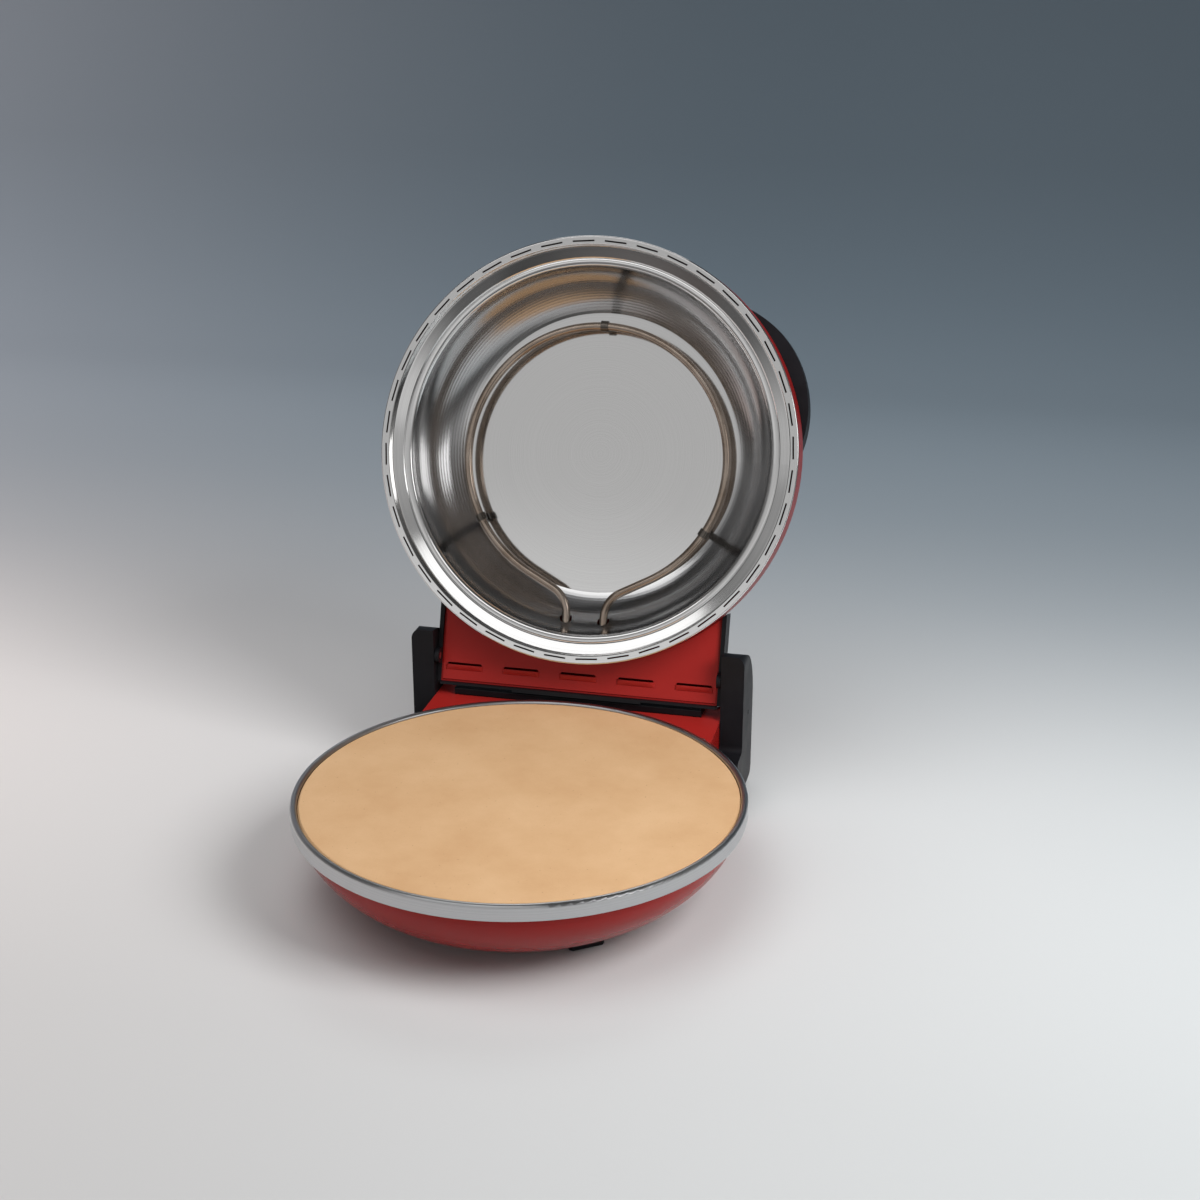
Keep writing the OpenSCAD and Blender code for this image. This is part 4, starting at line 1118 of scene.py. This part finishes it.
@dataclass
class Studio:
    """A pale sweep under and behind the object, soft lamps and a plain room round them."""

    floor_z: float = CAD_BOX[0][2]
    front_y: float = -2.4
    bend_y: float = 1.5
    bend_r: float = 0.9
    top_z: float = 3.0
    half_x: float = 3.2
    bend_steps: int = 24
    blueing: tuple[float, float] = (-0.20, 0.18)
    cloud_scale: float = 0.8
    cloud: float = 0.004
    # Painted light: gains that make the sweep lighter to the left and near the object.
    side_gain: float = 0.53
    near_gain: float = 0.2
    near_reach: float = 0.7
    # Painted light: the warm tint of the lightened left of the sweep.
    painted_light_tint: Colour = (1.3, 1.0, 0.9)
    # Painted light and shade: the sweep's tone and blueing by the distance y + z, pale near the object, deeper away.
    painted_light_tones: tuple[tuple[float, float, float], ...] = (
        (-2.2, 0.10, 0.0), (-1.5, 0.13, 0.0), (-0.95, 0.50, 0.0), (-0.3, 0.55, 0.0), (0.1, 0.72, 0.0),
        (0.35, 0.59, 0.1), (0.6, 0.43, 0.4), (0.9, 0.35, 0.7), (1.3, 0.36, 0.9), (1.8, 0.235, 1.1),
        (2.3, 0.165, 1.1), (3.6, 0.13, 1.0))
    by_height: tuple[tuple[float, float], ...] = (
        (-90, 0.10), (-3, 0.12), (2, 0.35), (8, 0.75), (14, 0.80), (17, 0.54), (24, 0.54), (34, 0.30), (50, 0.18),
        (90, 0.12))
    by_turn: tuple[tuple[float, float], ...] = (
        (-180, 0.40), (-100, 0.30), (-88, 0.25), (-58, 0.25), (-46, 0.70), (-34, 1.0), (10, 1.0), (28, 0.75),
        (50, 0.45), (90, 0.40), (180, 0.40))
    lamps: tuple[SoftLamp, ...] = (
        SoftLamp("key_box", (0.95, -0.38, 0.98), (0.0, 0.0, 0.0), (0.7, 0.7), 16.0, False),
        SoftLamp("sky_box", (-0.5, -0.5, 2.4), (-0.1, 0.2, 0.0), (1.8, 1.4), 19.0, False),
        SoftLamp("side_card", (1.30, -0.35, 0.71), (0.0, 0.2, 0.2), (0.7, 0.5), 2.4),
        SoftLamp("rear_box", (-0.2, 1.35, 1.8), (0.0, 0.25, 0.15), (1.3, 0.8), 7.0),
        SoftLamp("front_box", (-0.5, -1.5, 2.1), (0.0, 0.1, 0.05), (2.6, 0.8), 8.0),
    )

    def sweep(self) -> None:
        """Builds the sweep: the line (y, z) runs level, round a quarter circle and up, carried along x.

        Its tone, painted light and shade, goes by the distance y + z along it: pale under the object, deeper and bluer
        away from it. Then it is multiplied by 1 + g (r, g, b of a warm tint), painted light, where g is about half the
        square of x on the left, and near the object a fifth of -x more.
        """
        level = np.array([[self.front_y, 0.0], [self.bend_y, 0.0]])
        turn = np.linspace(0.0, math.pi / 2, self.bend_steps)[1:]
        arc = np.column_stack((self.bend_y + self.bend_r * np.sin(turn), self.bend_r * (1 - np.cos(turn))))
        line = np.vstack((level, arc, [[self.bend_y + self.bend_r, self.top_z]]))
        across = np.array([-self.half_x, self.half_x])
        points = np.column_stack((np.tile(across, len(line)), np.repeat(line, 2, axis=0) + (0.0, self.floor_z)))
        first = np.arange(len(line) - 1) * 2
        faces = np.column_stack((first, first + 1, first + 3, first + 2))
        graph = Graph("studio_sweep")
        parts = graph.node("SeparateXYZ")
        graph.link(graph.place, parts.inputs[0])
        # The ramp below paints light and shade along the sweep.
        along = graph.math("ADD", parts.outputs[1], parts.outputs[2])
        low, high = self.painted_light_tones[0][0], self.painted_light_tones[-1][0]
        ramp = graph.node("ValToRGB")
        ramp.color_ramp.interpolation = "B_SPLINE"
        red, azure = self.blueing
        fill_ramp(ramp, [((reach - low) / (high - low), (tone * (1 + red * blue), tone, tone * (1 + azure * blue)))
                         for reach, tone, blue in self.painted_light_tones])
        cloud = graph.spread(graph.noise(self.cloud_scale), -self.cloud, self.cloud)
        drift = graph.math("ADD", graph.spread(along, 0.0, 1.0, low, high), cloud)
        graph.link(drift, ramp.inputs["Fac"])
        # Painted light: lighter and warmer to the left, and near the object lighter on the left and darker on the
        # right.
        left = graph.math("MINIMUM", parts.outputs[0], 0.0)
        side = graph.spread(parts.outputs[0], self.near_reach, -self.near_reach, -self.near_reach, self.near_reach)
        near = graph.math("MULTIPLY", side, graph.spread(along, self.near_gain, 0.0, 0.1, 1.0))
        gain = graph.math("MULTIPLY_ADD", graph.math("MULTIPLY", left, left), self.side_gain, near)
        warm = graph.node("VectorMath")
        warm.operation = "MULTIPLY_ADD"
        lift = graph.node("VectorMath")
        lift.operation = "SCALE"
        lift.inputs[0].default_value = self.painted_light_tint
        graph.link(gain, lift.inputs["Scale"])
        graph.link(ramp.outputs["Color"], warm.inputs[0])
        graph.link(lift.outputs[0], warm.inputs[1])
        graph.link(ramp.outputs["Color"], warm.inputs[2])
        graph.colour(warm.outputs[0])
        graph.set(Roughness=0.9, Specular_IOR_Level=0.2)
        sheet = surface("studio_sweep", points, faces, graph.material)

    def room(self) -> None:
        """Sets the world that bright metal mirrors: its tone is by_height(elevation) times by_turn(azimuth).

        The azimuth is 0 in front and rises to the right, and both are in degrees.
        """
        world = bpy.data.worlds.new("studio_room")
        world.use_nodes = True
        nodes = Nodes(world.node_tree)
        parts = nodes.node("SeparateXYZ")
        nodes.link(nodes.node("TexCoord").outputs["Generated"], parts.inputs[0])
        turn = nodes.math("ARCTAN2", parts.outputs[0], nodes.math("MULTIPLY", parts.outputs[1], -1.0))
        heights = [(math.sin(math.radians(angle)), tone) for angle, tone in self.by_height]
        turns = [(angle / 180.0, tone) for angle, tone in self.by_turn]
        product = nodes.node("VectorMath")
        product.operation = "MULTIPLY"
        for socket, source, reach, stops in (
                (product.inputs[0], parts.outputs[2], 1.0, heights), (product.inputs[1], turn, math.pi, turns)):
            ramp = nodes.node("ValToRGB")
            fill_ramp(ramp, [(0.5 + 0.5 * place, (tone, tone, tone)) for place, tone in stops])
            nodes.link(nodes.spread(source, 0.0, 1.0, -reach, reach), ramp.inputs["Fac"])
            nodes.link(ramp.outputs["Color"], socket)
        shade = world.node_tree.nodes["Background"]
        nodes.link(product.outputs[0], shade.inputs["Color"])
        shade.inputs["Strength"].default_value = 1.0
        bpy.context.scene.world = world

    def build(self) -> None:
        """Builds the sweep, the lamps and the room."""
        self.sweep()
        for lamp in self.lamps:
            lamp.build()
        self.room()


def main() -> None:
    """Builds the camera, the studio and the dressed object in order."""
    scene = bpy.context.scene
    scene.view_settings.view_transform = "Standard"
    PhotoCamera().build()
    Studio().build()
    finishes = Finishes()
    for unit in (BaseUnit(finishes), HingeUnit(finishes), LidUnit(finishes), ControlUnit(finishes)):
        unit.build()
        LOG.info("%s is built", type(unit).__name__)


if __name__ == "__main__":
    main()
